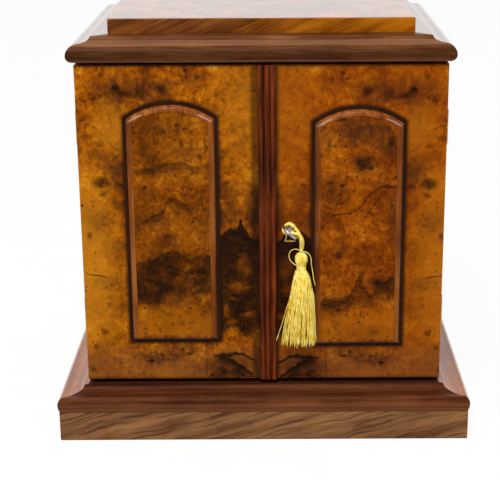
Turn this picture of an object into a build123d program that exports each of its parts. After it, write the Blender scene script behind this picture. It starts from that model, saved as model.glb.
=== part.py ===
from build123d import *
from math import cos, pi, radians, sin, sqrt, tan
import os

# A Victorian table-top collector's cabinet: two arched-panel doors, a bank of four
# graduated drawers, a moulded plinth and a moulded crown with a raised cap.
# Millimetres. +Z is up, +X is to the right of someone facing the doors, the doors
# face -Y, and the origin is the middle of the footprint on the table.

os.makedirs("parts", exist_ok=True)

# Case: outside size of the box between the mouldings
case_width = 300.0
case_depth = 245.0          # from the face of the doors to the back
side_thickness = 12.0
back_thickness = 8.0

# Plinth rails, a mitred frame under the bottom board
plinth_height = 25.7
plinth_overhang = 22.9      # beyond the face of the doors
plinth_rail_width = 32.0
plinth_edge_radius = 1.8

# Base moulding, measured out from the case face and up from the plinth
base_height = 17.5
base_foot = 22.4
base_nose = 24.1
base_nose_height = 7.6
base_shoulder = 20.8
base_shoulder_height = 13.2
base_hollow = 1.0           # depth of the shallow hollow behind the nose
base_cove_foot = 7.9
base_cove_bow = 0.6
base_fillet = 3.3

# Crown moulding, measured out from the case face and up from its soffit
crown_height = 19.2
crown_depth = 26.0          # how far its inner edge lies behind the case face
crown_soffit = 1.0
crown_nose = 5.6
crown_nose_height = 5.9
crown_shoulder = -4.6
crown_shoulder_height = 14.4
crown_arris = -8.4
crown_arris_height = 15.3
crown_cove_top = -12.4
crown_cove_bow = 1.1

# Raised cap on the top
cap_height = 12.2
cap_setback = 25.2
cap_edge_radius = 1.2

# Doors
door_thickness = 16.0
door_gap_below = 4.1
door_gap_above = 2.3
door_meeting_gap = 0.5
door_seat_gap = 0.3         # between the back of a closed door and the case sides

# Raised panel on each door and the ovolo moulding around it
panel_half_width = 31.0
panel_height = 192.1        # of the field, from its foot to the top of its arch
panel_arch_rise = 9.5
panel_thickness = 5.0
left_panel_shift = 0.8      # to the right of the middle of its door
right_panel_shift = 3.8
left_panel_foot = 41.6      # above the foot of the door
right_panel_foot = 37.3
ovolo_band = 7.4            # whole width of the moulding
ovolo_round = 4.7           # width of its rounded part
ovolo_radius = 4.2
ovolo_height = 5.4
ovolo_quirk = 0.9           # height of the flat outside the round
ovolo_shoulder_radius = 5.0
ovolo_inner_shoulder_radius = 2.0

# Reeded closing strip, fixed on the right door and lapping the left one
strip_left = -2.9
strip_right = 11.4
strip_base = 1.2
strip_reed_height = 2.4     # of the outer reeds above the base
strip_middle_height = 2.9
strip_reed_gap = 0.5
strip_lap_clearance = 0.3

# Drawers: four of graduated height behind the doors
drawer_count = 4
top_drawer_height = 54.9
drawer_step = 9.0           # each drawer is this much taller than the one above
drawer_gap = 0.6
drawer_setback = 14.0       # from the back of a closed door to the drawer fronts
drawer_back_room = 12.0     # left behind the closed drawers
drawer_front_thickness = 10.0
drawer_side_thickness = 8.0
drawer_bottom_thickness = 4.0
drawer_bottom_lift = 3.0
drawer_side_gap = 0.8
drawer_side_drop = 2.5      # sides stand this much lower than the front
drawer_foot_gap = 0.6
guide_thickness = 8.0
bearer_height = 5.0
bearer_depth = 3.6
bearer_clearance = 0.25
lining_floor = 2.0
lining_wall = 1.5

# Turned drawer knobs
knob_spacing = 124.0
knob_length = 10.0
knob_radius = 4.6
knob_edge = 0.6
knob_dome = 2.2
knob_cove = 2.4
knob_rose_radius = 4.0
knob_rose_length = 1.4
knob_rose_slope = 1.0
knob_spigot_radius = 2.0
knob_spigot_length = 6.0
knob_fit = 0.05

# Butt hinges
hinge_length = 28.5
hinge_inset = 54.3          # from the end of the door to the middle of the hinge
hinge_axis_out = 0.6        # the pin stands this far outside the case side
hinge_leaf_width = 11.4
hinge_leaf_thickness = 1.2
knuckle_radius = 2.2
knuckle_gap = 0.2
knuckle_clearance = 0.25
pin_radius = 1.0
pin_fit = 0.05
pin_head_radius = 1.7
pin_head_height = 0.8

# Wood screws
screw_radius = 1.1
screw_head_radius = 2.1
screw_head_height = 1.1
screw_length = 9.0
screw_spacing = 18.0
screw_fit = 0.05

# Lock in the right door
lock_backset = 22.5         # from the edge of the door to the key
lock_width = 38.0
lock_height = 36.0
lock_depth = 9.0
lock_wall = 1.2
lock_plate_height = 48.0
lock_fit = 0.1              # around the lock in its recess
lock_screw_spacing = 42.0
lock_bolt_lift = 11.0       # middle of the bolt above the key
lock_bolt_height = 6.0
lock_bolt_thickness = 4.0
lock_bolt_length = 30.0
lock_bolt_travel = 5.0
lock_bolt_fit = 0.15
strike_thickness = 1.0
strike_height = 26.0
strike_width = 9.0
strike_margin = 0.5         # around the bolt in the strike plate
mortise_spare = 1.5         # left beyond the tip of the thrown bolt
strike_screw_spacing = 18.0
strike_screw_length = 7.0

# Keyhole plate, a brass thread let into the door
keyhole_head_radius = 4.8
keyhole_neck_half = 2.7
keyhole_foot_half = 4.6
keyhole_drop = 12.8         # from the key down to the foot of the plate
keyhole_thread = 1.0
keyhole_depth = 2.0
keyhole_proud = 0.2

# Key
key_tilt = 40.0             # of the bow's plane, clockwise from level, as it stands
key_shank_radius = 2.0
key_collar_radius = 2.8
key_collar_length = 1.4
bow_reach = 23.8            # from the door face to the far rim of the bow
bow_half_length = 8.2
bow_half_width = 7.7
bow_rim = 2.4
bow_thickness = 2.4
bow_edge_radius = 0.9
bit_reach = 7.0
bit_width = 4.0
bit_thickness = 1.8
key_end_clearance = 0.4

# Bolt on the inside of the left door
bolt_centre_x = -11.0
bolt_radius = 2.0
bolt_travel = 7.0
bolt_drop = 0.8             # rest height of its tip below the top of the door
bolt_length = 34.0
bolt_tip_chamfer = 0.5
bolt_fit = 0.05
bolt_plate_width = 13.0
bolt_plate_length = 30.0
bolt_plate_thickness = 1.2
bolt_plate_drop = 3.5
bolt_guide_width = 8.0
bolt_guide_length = 5.0
bolt_guide_wall = 1.2
bolt_screw_spacing = 11.0
bolt_knob_radius = 1.7
bolt_knob_length = 2.6
keeper_thickness = 1.0
keeper_length = 15.0
keeper_width = 8.0
keeper_hole_margin = 0.5
keeper_hole_spare = 2.0

# Tassel, hung from the bow by a doubled cord
cord_diameter = 2.8
cord_gap = 0.2              # between its two runs
bend_share = 0.45           # of a run that the bend at each of its ends takes
tassel_offset = 8.95        # to the right of the key
tassel_out = 14.95          # from the door face to the middle of the tassel
tassel_drop = 16.9          # from the key down to the top of its head
head_radius = 5.6
head_flat_radius = 3.4
head_length = 12.6
neck_radius = 3.9
neck_length = 5.4
skirt_flutes = 14
skirt_flute_depth = 0.07

# Places that follow from the sizes above
back_y = (case_depth + base_nose) / 2
face_y = back_y - case_depth
half_case = case_width / 2
floor_z = plinth_height + base_height
drawer_heights = [top_drawer_height + i * drawer_step for i in range(drawer_count)]
inside_height = sum(drawer_heights) + (drawer_count + 1) * drawer_gap
crown_z = floor_z + inside_height
top_z = crown_z + crown_height
door_bottom = floor_z + door_gap_below
door_top = crown_z - door_gap_above
door_back_y = face_y + door_thickness
case_front_y = door_back_y + door_seat_gap
drawer_front_y = door_back_y + drawer_setback
back_panel_y = back_y - back_thickness
side_inner = half_case - side_thickness
guide_inner = side_inner - guide_thickness
drawer_half = guide_inner - drawer_side_gap
key_x = door_meeting_gap / 2 + lock_backset
key_z = (door_bottom + door_top) / 2
tassel_x = key_x + tassel_offset
tassel_top = key_z - tassel_drop
hinge_y = (door_back_y + case_front_y) / 2
hinge_x = half_case + hinge_axis_out
hinge_heights = [door_bottom + hinge_inset, door_top - hinge_inset]

FRONT_UP = Plane(origin=(0, face_y, 0), x_dir=(1, 0, 0), z_dir=(0, -1, 0))


def save(builder, name):
    """Label a finished piece and write it to its own file."""
    builder.part.label = name
    export_step(builder.part, f"parts/{name}.step")


def save_group(builders, name):
    """Write several touching pieces, each its own solid, as one file."""
    group = Compound(label=name, children=[builder.part for builder in builders])
    export_step(group, f"parts/{name}.step")


def block(low, high, mode=Mode.ADD):
    """A rectangular block between two opposite corners."""
    middle = tuple((a + b) / 2 for a, b in zip(low, high))
    size = tuple(b - a for a, b in zip(low, high))
    with Locations(middle):
        Box(*size, mode=mode)


def rod(start, direction, length, radius, mode=Mode.ADD):
    """A round rod from a start point along a direction."""
    with Locations(Plane(origin=start, z_dir=direction).location):
        Cylinder(radius, length, align=(Align.CENTER, Align.CENTER, Align.MIN), mode=mode)


def screw(head, direction, length, grow=0.0, mode=Mode.ADD):
    """A countersunk screw whose head lies flush at a point, or its hole, grown all round."""
    with Locations(Plane(origin=head, z_dir=direction).location):
        Cone(
            screw_head_radius + grow,
            screw_radius + grow,
            screw_head_height,
            align=(Align.CENTER, Align.CENTER, Align.MIN),
            mode=mode,
        )
        Cylinder(
            screw_radius + grow,
            length + grow,
            align=(Align.CENTER, Align.CENTER, Align.MIN),
            mode=mode,
        )


def plinth_profile():
    """Section of a plinth rail: out from the case face, up from the table."""
    inner = plinth_overhang - plinth_rail_width
    with BuildLine() as section:
        Polyline(
            (plinth_overhang - plinth_edge_radius, 0),
            (inner, 0),
            (inner, plinth_height),
            (plinth_overhang, plinth_height),
            (plinth_overhang, plinth_edge_radius),
        )
        RadiusArc(
            (plinth_overhang, plinth_edge_radius),
            (plinth_overhang - plinth_edge_radius, 0),
            plinth_edge_radius,
        )
    make_face(section.edges())


def base_profile():
    """Section of the base moulding: nose, shallow hollow, small cove and top fillet."""
    foot = plinth_height
    nose_z = foot + base_nose_height
    shoulder_z = foot + base_shoulder_height
    hollow_x = (base_shoulder + base_cove_foot) / 2
    cove_x = (base_cove_foot + base_fillet) / 2 - base_cove_bow
    cove_z = (shoulder_z + floor_z) / 2 - base_cove_bow
    with BuildLine() as section:
        Line((0, foot), (base_foot, foot))
        TangentArc((base_nose, nose_z), (base_foot, foot), tangent=(0, -1))
        TangentArc((base_nose, nose_z), (base_shoulder, shoulder_z), tangent=(0, 1))
        ThreePointArc(
            (base_shoulder, shoulder_z),
            (hollow_x, shoulder_z - base_hollow),
            (base_cove_foot, shoulder_z),
        )
        ThreePointArc((base_cove_foot, shoulder_z), (cove_x, cove_z), (base_fillet, floor_z))
        Polyline((base_fillet, floor_z), (0, floor_z), (0, foot))
    make_face(section.edges())


def crown_profile():
    """Section of the crown: soffit, roll, large ovolo, arris, small cove and flat top."""
    nose_z = crown_z + crown_nose_height
    arris_z = crown_z + crown_arris_height
    cove_x = (crown_arris + crown_cove_top) / 2 - crown_cove_bow / 2
    cove_z = (arris_z + top_z) / 2 - crown_cove_bow / 2
    with BuildLine() as section:
        Line((-crown_depth, crown_z), (crown_soffit, crown_z))
        TangentArc((crown_nose, nose_z), (crown_soffit, crown_z), tangent=(0, -1))
        TangentArc(
            (crown_nose, nose_z),
            (crown_shoulder, crown_z + crown_shoulder_height),
            tangent=(0, 1),
        )
        Line(
            (crown_shoulder, crown_z + crown_shoulder_height),
            (crown_arris, arris_z),
        )
        ThreePointArc((crown_arris, arris_z), (cove_x, cove_z), (crown_cove_top, top_z))
        Polyline((crown_cove_top, top_z), (-crown_depth, top_z), (-crown_depth, crown_z))
    make_face(section.edges())


def mitred_run(side, profile, reach):
    """One length of moulding on the front, left or right, mitred at the front corners."""
    long = half_case + reach
    planes = {
        "front": Plane(origin=(long, face_y, 0), x_dir=(0, -1, 0), z_dir=(-1, 0, 0)),
        "left": Plane(origin=(-half_case, face_y - reach, 0), x_dir=(-1, 0, 0), z_dir=(0, 1, 0)),
        "right": Plane(origin=(half_case, back_y, 0), x_dir=(1, 0, 0), z_dir=(0, -1, 0)),
    }
    left_mitre = Plane(origin=(-half_case, face_y, 0), z_dir=(1, -1, 0))
    right_mitre = Plane(origin=(half_case, face_y, 0), z_dir=(-1, -1, 0))
    with BuildPart() as run:
        with BuildSketch(planes[side]):
            profile()
        extrude(amount=2 * long if side == "front" else case_depth + reach)
        if side == "front":
            split(bisect_by=left_mitre, keep=Keep.TOP)
            split(bisect_by=right_mitre, keep=Keep.TOP)
        if side == "left":
            split(bisect_by=left_mitre, keep=Keep.BOTTOM)
        if side == "right":
            split(bisect_by=right_mitre, keep=Keep.BOTTOM)
    return run


# Plinth: three mitred rails and a back rail between them

for side in ("front", "left", "right"):
    save(mitred_run(side, plinth_profile, plinth_overhang), f"plinth_{side}")

back_rail_half = half_case + plinth_overhang - plinth_rail_width
with BuildPart() as plinth_back:
    block((-back_rail_half, back_y - plinth_rail_width, 0), (back_rail_half, back_y, plinth_height))
save(plinth_back, "plinth_back")

# Base moulding on three sides of the bottom board

for side in ("front", "left", "right"):
    save(mitred_run(side, base_profile, base_nose), f"base_moulding_{side}")

with BuildPart() as bottom_board:
    block((-half_case, face_y, plinth_height), (half_case, back_y, floor_z))
save(bottom_board, "bottom_board")


# Butt hinges: the case leaf carries the outer knuckles, the door leaf the middle one

knuckle_length = (hinge_length - 2 * knuckle_gap) / 3


def hinge_screw_points(side, y):
    """Centres of the screw heads of the two hinges on one side of the case."""
    x = side * (half_case - hinge_leaf_width / 2)
    return [
        (x, y, z + offset)
        for z in hinge_heights
        for offset in (-screw_spacing / 2, screw_spacing / 2)
    ]


def knuckle_spans(z, on_door):
    """Foot heights of the knuckles that belong to one leaf."""
    foot = z - hinge_length / 2
    pitch = knuckle_length + knuckle_gap
    return [foot + pitch] if on_door else [foot, foot + 2 * pitch]


def hinge_leaves(side, on_door):
    """Both leaves on one side, on the door or on the case."""
    seat = door_back_y if on_door else case_front_y
    depth = -hinge_leaf_thickness if on_door else hinge_leaf_thickness
    axis = side * hinge_x
    inner = side * (half_case - hinge_leaf_width)
    with BuildPart() as leaves:
        for z in hinge_heights:
            low = (min(inner, axis), min(seat, seat + depth), z - hinge_length / 2)
            high = (max(inner, axis), max(seat, seat + depth), z + hinge_length / 2)
            block(low, high)
            for foot in knuckle_spans(z, not on_door):
                rod(
                    (axis, hinge_y, foot - knuckle_gap),
                    (0, 0, 1),
                    knuckle_length + 2 * knuckle_gap,
                    knuckle_radius + knuckle_clearance,
                    mode=Mode.SUBTRACT,
                )
            for foot in knuckle_spans(z, on_door):
                rod((axis, hinge_y, foot), (0, 0, 1), knuckle_length, knuckle_radius)
            rod(
                (axis, hinge_y, z - hinge_length / 2),
                (0, 0, 1),
                hinge_length,
                pin_radius + pin_fit,
                mode=Mode.SUBTRACT,
            )
        for point in hinge_screw_points(side, seat):
            screw(point, (0, depth, 0), screw_length, screw_fit, mode=Mode.SUBTRACT)
    return leaves


def hinge_room(side, on_door):
    """Cut the seats of one side's leaves, knuckles and screws into a door or a side."""
    seat = door_back_y if on_door else case_front_y
    depth = -hinge_leaf_thickness if on_door else hinge_leaf_thickness
    inner = side * (half_case - hinge_leaf_width)
    outer = side * half_case
    for z in hinge_heights:
        low = (min(inner, outer), min(seat, seat + depth), z - hinge_length / 2)
        high = (max(inner, outer), max(seat, seat + depth), z + hinge_length / 2)
        block(low, high, mode=Mode.SUBTRACT)
        rod(
            (side * hinge_x, hinge_y, z - hinge_length / 2 - pin_head_height - knuckle_gap),
            (0, 0, 1),
            hinge_length + 2 * (pin_head_height + knuckle_gap),
            knuckle_radius + knuckle_clearance,
            mode=Mode.SUBTRACT,
        )
    for point in hinge_screw_points(side, seat):
        screw(point, (0, depth, 0), screw_length, screw_fit, mode=Mode.SUBTRACT)


# Case sides, back and drawer guides

for side, name in ((-1, "left_side_panel"), (1, "right_side_panel")):
    with BuildPart() as side_panel:
        block(
            (min(side * side_inner, side * half_case), case_front_y, floor_z),
            (max(side * side_inner, side * half_case), back_y, crown_z),
        )
        hinge_room(side, on_door=False)
    save(side_panel, name)

with BuildPart() as back_panel:
    block((-side_inner, back_panel_y, floor_z), (side_inner, back_y, crown_z))
save(back_panel, "back_panel")

for side, name in ((-1, "left_guide_board"), (1, "right_guide_board")):
    with BuildPart() as guide_board:
        block(
            (min(side * guide_inner, side * side_inner), drawer_front_y, floor_z),
            (max(side * guide_inner, side * side_inner), back_panel_y, crown_z),
        )
    save(guide_board, name)

# Top board, crown moulding and raised cap

top_half = half_case - crown_depth
with BuildPart() as top_board:
    block((-top_half, face_y + crown_depth, crown_z), (top_half, back_y, top_z))
save(top_board, "top_board")

bolt_y = door_back_y + bolt_plate_thickness + bolt_guide_wall + bolt_radius
keeper_hole_radius = bolt_radius + keeper_hole_margin
keeper_hole_depth = bolt_travel - bolt_drop - door_gap_above + keeper_hole_spare

for side in ("left", "right"):
    save(mitred_run(side, crown_profile, crown_nose), f"crown_moulding_{side}")



def keeper_plate(mode):
    """The bolt keeper's own space in the underside of the crown."""
    block(
        (bolt_centre_x - keeper_length / 2, bolt_y - keeper_width / 2, crown_z),
        (bolt_centre_x + keeper_length / 2, bolt_y + keeper_width / 2, crown_z + keeper_thickness),
        mode=mode,
    )


def keeper_hole():
    """Cut the hole that the door bolt slides up into."""
    foot = (bolt_centre_x, bolt_y, crown_z)
    rod(foot, (0, 0, 1), keeper_hole_depth, keeper_hole_radius, mode=Mode.SUBTRACT)


crown_front = mitred_run("front", crown_profile, crown_nose)
with BuildPart() as crown_moulding_front:
    add(crown_front.part)
    keeper_plate(Mode.SUBTRACT)
    keeper_hole()
save(crown_moulding_front, "crown_moulding_front")

with BuildPart() as bolt_keeper:
    keeper_plate(Mode.ADD)
    keeper_hole()
save(bolt_keeper, "bolt_keeper")

cap_half = half_case - cap_setback
with BuildPart() as cap_board:
    block((-cap_half, face_y + cap_setback, top_z), (cap_half, back_y, top_z + cap_height))
    fillet(cap_board.edges().filter_by(Axis.Z).group_by(Axis.Y)[0], cap_edge_radius)
    rim = cap_board.faces().sort_by(Axis.Z)[-1].edges()
    fillet(rim.sort_by(Axis.Y)[:-1], cap_edge_radius)
save(cap_board, "cap_board")

# Hinge leaves, pins and screws on the case

case_leaves = [hinge_leaves(side, on_door=False) for side in (-1, 1)]
save_group(case_leaves, "case_hinge_leaves")

with BuildPart() as hinge_pins:
    for side in (-1, 1):
        for z in hinge_heights:
            foot = (side * hinge_x, hinge_y, z - hinge_length / 2)
            head = (side * hinge_x, hinge_y, z + hinge_length / 2)
            rod(foot, (0, 0, 1), hinge_length, pin_radius)
            rod(head, (0, 0, 1), pin_head_height, pin_head_radius)
            rod(foot, (0, 0, -1), pin_head_height, pin_head_radius)
save(hinge_pins, "hinge_pins")

with BuildPart() as case_hinge_screws:
    for side in (-1, 1):
        for point in hinge_screw_points(side, case_front_y):
            screw(point, (0, 1, 0), screw_length)
save(case_hinge_screws, "case_hinge_screws")


# Raised panels with their ovolo mouldings

def panel_outline(centre, foot, margin, shoulder=0.0):
    """Arched outline of the field, grown by a margin, with its shoulders eased."""
    radius = (panel_half_width**2 + panel_arch_rise**2) / (2 * panel_arch_rise) + margin
    half = panel_half_width + margin
    low = door_bottom + foot - margin
    crest = door_bottom + foot + panel_height + margin
    spring = crest - radius + sqrt(radius**2 - half**2)
    with BuildLine() as section:
        Polyline(
            (centre - half, spring),
            (centre - half, low),
            (centre + half, low),
            (centre + half, spring),
        )
        ThreePointArc((centre + half, spring), (centre, crest), (centre - half, spring))
    face = make_face(section.edges())
    if shoulder:
        fillet(face.vertices().sort_by(Axis.Z)[-2:], shoulder)


for name, centre, foot in (
    ("left", left_panel_shift - half_case / 2, left_panel_foot),
    ("right", right_panel_shift + half_case / 2, right_panel_foot),
):
    with BuildPart() as raised_panel:
        with BuildSketch(FRONT_UP):
            panel_outline(centre, foot, 0)
        extrude(amount=panel_thickness)
    save(raised_panel, f"{name}_raised_panel")

    with BuildPart() as panel_moulding:
        with BuildSketch(FRONT_UP):
            panel_outline(centre, foot, ovolo_round, ovolo_inner_shoulder_radius)
        extrude(amount=ovolo_height)
        rim = panel_moulding.faces().sort_by(Axis.Y)[0].edges()
        fillet(rim, ovolo_radius)
        with BuildSketch(FRONT_UP):
            panel_outline(centre, foot, ovolo_band, ovolo_shoulder_radius)
        extrude(amount=ovolo_quirk)
        with BuildSketch(FRONT_UP):
            panel_outline(centre, foot, 0)
        extrude(amount=ovolo_height, mode=Mode.SUBTRACT)
    save(panel_moulding, f"{name}_panel_moulding")


# Left door with its bolt and strike plate

strike_z = key_z + lock_bolt_lift
strike_y = door_back_y - lock_wall - lock_bolt_fit - lock_bolt_thickness / 2
left_edge = -door_meeting_gap / 2
right_edge = door_meeting_gap / 2
mortise_half = (lock_bolt_thickness / 2 + strike_margin, lock_bolt_height / 2 + strike_margin)
mortise_depth = lock_bolt_travel - door_meeting_gap + mortise_spare
bolt_plate_top = door_top - bolt_plate_drop
bolt_plate_foot = bolt_plate_top - bolt_plate_length
guide_feet = [bolt_plate_foot, bolt_plate_top - bolt_guide_length]


def strike_screw_points():
    """Centres of the two screw heads in the strike plate."""
    return [(left_edge, strike_y, strike_z + side * strike_screw_spacing / 2) for side in (-1, 1)]


def strike_seat(mode):
    """The strike plate's own space in the edge of the left door."""
    block(
        (left_edge - strike_thickness, strike_y - strike_width / 2, strike_z - strike_height / 2),
        (left_edge, door_back_y, strike_z + strike_height / 2),
        mode=mode,
    )


def bolt_screw_points():
    """Centres of the two screw heads in the plate behind the door bolt."""
    middle = (bolt_plate_foot + bolt_plate_top) / 2
    y = door_back_y + bolt_plate_thickness
    return [(bolt_centre_x, y, middle + side * bolt_screw_spacing / 2) for side in (-1, 1)]


with BuildPart() as left_door_board:
    block((-half_case, face_y, door_bottom), (left_edge, door_back_y, door_top))
    hinge_room(-1, on_door=True)
    strike_seat(Mode.SUBTRACT)
    block(
        (left_edge - mortise_depth, strike_y - mortise_half[0], strike_z - mortise_half[1]),
        (left_edge, strike_y + mortise_half[0], strike_z + mortise_half[1]),
        mode=Mode.SUBTRACT,
    )
    for point in strike_screw_points():
        screw(point, (-1, 0, 0), strike_screw_length, screw_fit, mode=Mode.SUBTRACT)
    for point in bolt_screw_points():
        screw(point, (0, -1, 0), screw_length, screw_fit, mode=Mode.SUBTRACT)
save(left_door_board, "left_door_board")

with BuildPart() as strike_plate:
    strike_seat(Mode.ADD)
    block(
        (left_edge - mortise_depth, strike_y - mortise_half[0], strike_z - mortise_half[1]),
        (left_edge, strike_y + mortise_half[0], strike_z + mortise_half[1]),
        mode=Mode.SUBTRACT,
    )
    for point in strike_screw_points():
        screw(point, (-1, 0, 0), strike_screw_length, screw_fit, mode=Mode.SUBTRACT)
save(strike_plate, "strike_plate")

with BuildPart() as bolt_case:
    block(
        (bolt_centre_x - bolt_plate_width / 2, door_back_y, bolt_plate_foot),
        (bolt_centre_x + bolt_plate_width / 2, door_back_y + bolt_plate_thickness, bolt_plate_top),
    )
    for foot in guide_feet:
        block(
            (bolt_centre_x - bolt_guide_width / 2, door_back_y, foot),
            (
                bolt_centre_x + bolt_guide_width / 2,
                bolt_y + bolt_radius + bolt_guide_wall,
                foot + bolt_guide_length,
            ),
        )
        rod(
            (bolt_centre_x, bolt_y, foot),
            (0, 0, 1),
            bolt_guide_length,
            bolt_radius + bolt_fit,
            mode=Mode.SUBTRACT,
        )
    for point in bolt_screw_points():
        screw(point, (0, -1, 0), screw_length, screw_fit, mode=Mode.SUBTRACT)
save(bolt_case, "bolt_case")

bolt_tip = door_top - bolt_drop
bolt_knob_z = (guide_feet[0] + bolt_guide_length + guide_feet[1] - bolt_travel) / 2
with BuildPart() as door_bolt:
    rod((bolt_centre_x, bolt_y, bolt_tip), (0, 0, -1), bolt_length, bolt_radius)
    chamfer(door_bolt.faces().sort_by(Axis.Z)[-1].edges(), bolt_tip_chamfer)
    rod((bolt_centre_x, bolt_y, bolt_knob_z), (0, 1, 0), bolt_radius + bolt_knob_length, bolt_knob_radius)
save(door_bolt, "door_bolt")

save(hinge_leaves(-1, on_door=True), "left_door_hinge_leaves")

with BuildPart() as left_door_screws:
    for point in hinge_screw_points(-1, door_back_y):
        screw(point, (0, -1, 0), screw_length)
    for point in strike_screw_points():
        screw(point, (-1, 0, 0), strike_screw_length)
    for point in bolt_screw_points():
        screw(point, (0, -1, 0), screw_length)
save(left_door_screws, "left_door_screws")


# Right door with its lock, keyhole plate and closing strip

def keyhole_outline(inset):
    """A round head on a flared foot, inset all round."""
    head = keyhole_head_radius - inset
    neck = keyhole_neck_half - inset
    foot = keyhole_foot_half - inset
    low = key_z - keyhole_drop + inset
    join = sqrt(head**2 - neck**2)
    with Locations((key_x, key_z)):
        Circle(head)
    with BuildLine() as section:
        Polyline(
            (key_x - neck, key_z - join),
            (key_x - foot, low),
            (key_x + foot, low),
            (key_x + neck, key_z - join),
            close=True,
        )
    make_face(section.edges())


def lock_block(mode, grow=0.0, inside=0.0):
    """Body of the lock, or its cavity when it is inset by the wall."""
    block(
        (
            right_edge + inside,
            door_back_y - lock_depth + inside - grow,
            key_z - lock_height / 2 + inside - grow,
        ),
        (
            right_edge + lock_width - inside + grow,
            door_back_y - inside,
            key_z + lock_height / 2 - inside + grow,
        ),
        mode=mode,
    )


def lock_plate(mode, grow=0.0):
    """Plate of the lock, let in flush with the back of the door."""
    block(
        (right_edge, door_back_y - lock_wall, key_z - lock_plate_height / 2 - grow),
        (right_edge + lock_width + grow, door_back_y, key_z + lock_plate_height / 2 + grow),
        mode=mode,
    )


def lock_screw_points():
    """Centres of the two screw heads in the lock plate."""
    x = right_edge + lock_width / 2
    return [(x, door_back_y, key_z + side * lock_screw_spacing / 2) for side in (-1, 1)]


with BuildPart() as right_door_board:
    block((right_edge, face_y, door_bottom), (half_case, door_back_y, door_top))
    hinge_room(1, on_door=True)
    lock_block(Mode.SUBTRACT, grow=lock_fit)
    lock_plate(Mode.SUBTRACT, grow=lock_fit)
    with BuildSketch(FRONT_UP):
        keyhole_outline(keyhole_thread)
    extrude(amount=-(door_thickness - lock_depth), mode=Mode.SUBTRACT)
    with BuildSketch(FRONT_UP):
        keyhole_outline(0)
    extrude(amount=-keyhole_depth, mode=Mode.SUBTRACT)
    for point in lock_screw_points():
        screw(point, (0, -1, 0), screw_length, screw_fit, mode=Mode.SUBTRACT)
save(right_door_board, "right_door_board")

with BuildPart() as keyhole_plate:
    with BuildSketch(FRONT_UP.offset(-keyhole_depth)):
        keyhole_outline(0)
    extrude(amount=keyhole_depth + keyhole_proud)
    with BuildSketch(FRONT_UP.offset(-keyhole_depth)):
        keyhole_outline(keyhole_thread)
    extrude(amount=keyhole_depth + keyhole_proud, mode=Mode.SUBTRACT)
save(keyhole_plate, "keyhole_plate")

bolt_low = (
    right_edge,
    strike_y - lock_bolt_thickness / 2,
    strike_z - lock_bolt_height / 2,
)
bolt_high = (
    right_edge + lock_bolt_length,
    strike_y + lock_bolt_thickness / 2,
    strike_z + lock_bolt_height / 2,
)
with BuildPart() as lock_case:
    lock_block(Mode.ADD)
    lock_plate(Mode.ADD)
    lock_block(Mode.SUBTRACT, inside=lock_wall)
    block(
        (right_edge, bolt_low[1] - lock_bolt_fit, bolt_low[2] - lock_bolt_fit),
        (right_edge + lock_wall, bolt_high[1] + lock_bolt_fit, bolt_high[2] + lock_bolt_fit),
        mode=Mode.SUBTRACT,
    )
    with BuildSketch(FRONT_UP.offset(-(door_thickness - lock_depth))):
        keyhole_outline(keyhole_thread)
    extrude(amount=-lock_wall, mode=Mode.SUBTRACT)
    for point in lock_screw_points():
        screw(point, (0, -1, 0), screw_length, screw_fit, mode=Mode.SUBTRACT)
save(lock_case, "lock_case")

with BuildPart() as lock_bolt:
    block(bolt_low, bolt_high)
save(lock_bolt, "lock_bolt")

save(hinge_leaves(1, on_door=True), "right_door_hinge_leaves")

with BuildPart() as right_door_screws:
    for point in hinge_screw_points(1, door_back_y):
        screw(point, (0, -1, 0), screw_length)
    for point in lock_screw_points():
        screw(point, (0, -1, 0), screw_length)
save(right_door_screws, "right_door_screws")

strip_width = strip_right - strip_left
reed_half = (strip_width - 2 * strip_reed_gap) / 6
with BuildPart() as closing_strip:
    with BuildSketch(Plane.XY.offset(door_bottom)):
        with Locations(((strip_left + strip_right) / 2, face_y - strip_base / 2)):
            Rectangle(strip_width, strip_base)
        for index, height in ((0, strip_reed_height), (1, strip_middle_height), (2, strip_reed_height)):
            middle = strip_left + reed_half + index * (2 * reed_half + strip_reed_gap)
            with Locations((middle, face_y - strip_base)):
                Ellipse(reed_half, height)
        with Locations(((strip_left + strip_right) / 2, face_y + strip_middle_height / 2)):
            Rectangle(strip_width, strip_middle_height, mode=Mode.SUBTRACT)
    extrude(amount=door_top - door_bottom)
    block(
        (strip_left, face_y - strip_lap_clearance, door_bottom),
        (right_edge, face_y, door_top),
        mode=Mode.SUBTRACT,
    )
save(closing_strip, "closing_strip")


# Key, as it stands in the lock: the bow's plane holds the key's own axis

tilt = radians(key_tilt)
bow_centre_y = face_y - bow_reach + bow_half_length
shank_end_y = door_back_y - lock_wall - key_end_clearance
bit_middle_y = door_back_y - lock_depth / 2


def by_the_key(along, out, across):
    """A point from distances along the bow, out from the door and square to the bow."""
    return (
        key_x + along * cos(tilt) + across * sin(tilt),
        face_y - out,
        key_z - along * sin(tilt) + across * cos(tilt),
    )


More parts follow.
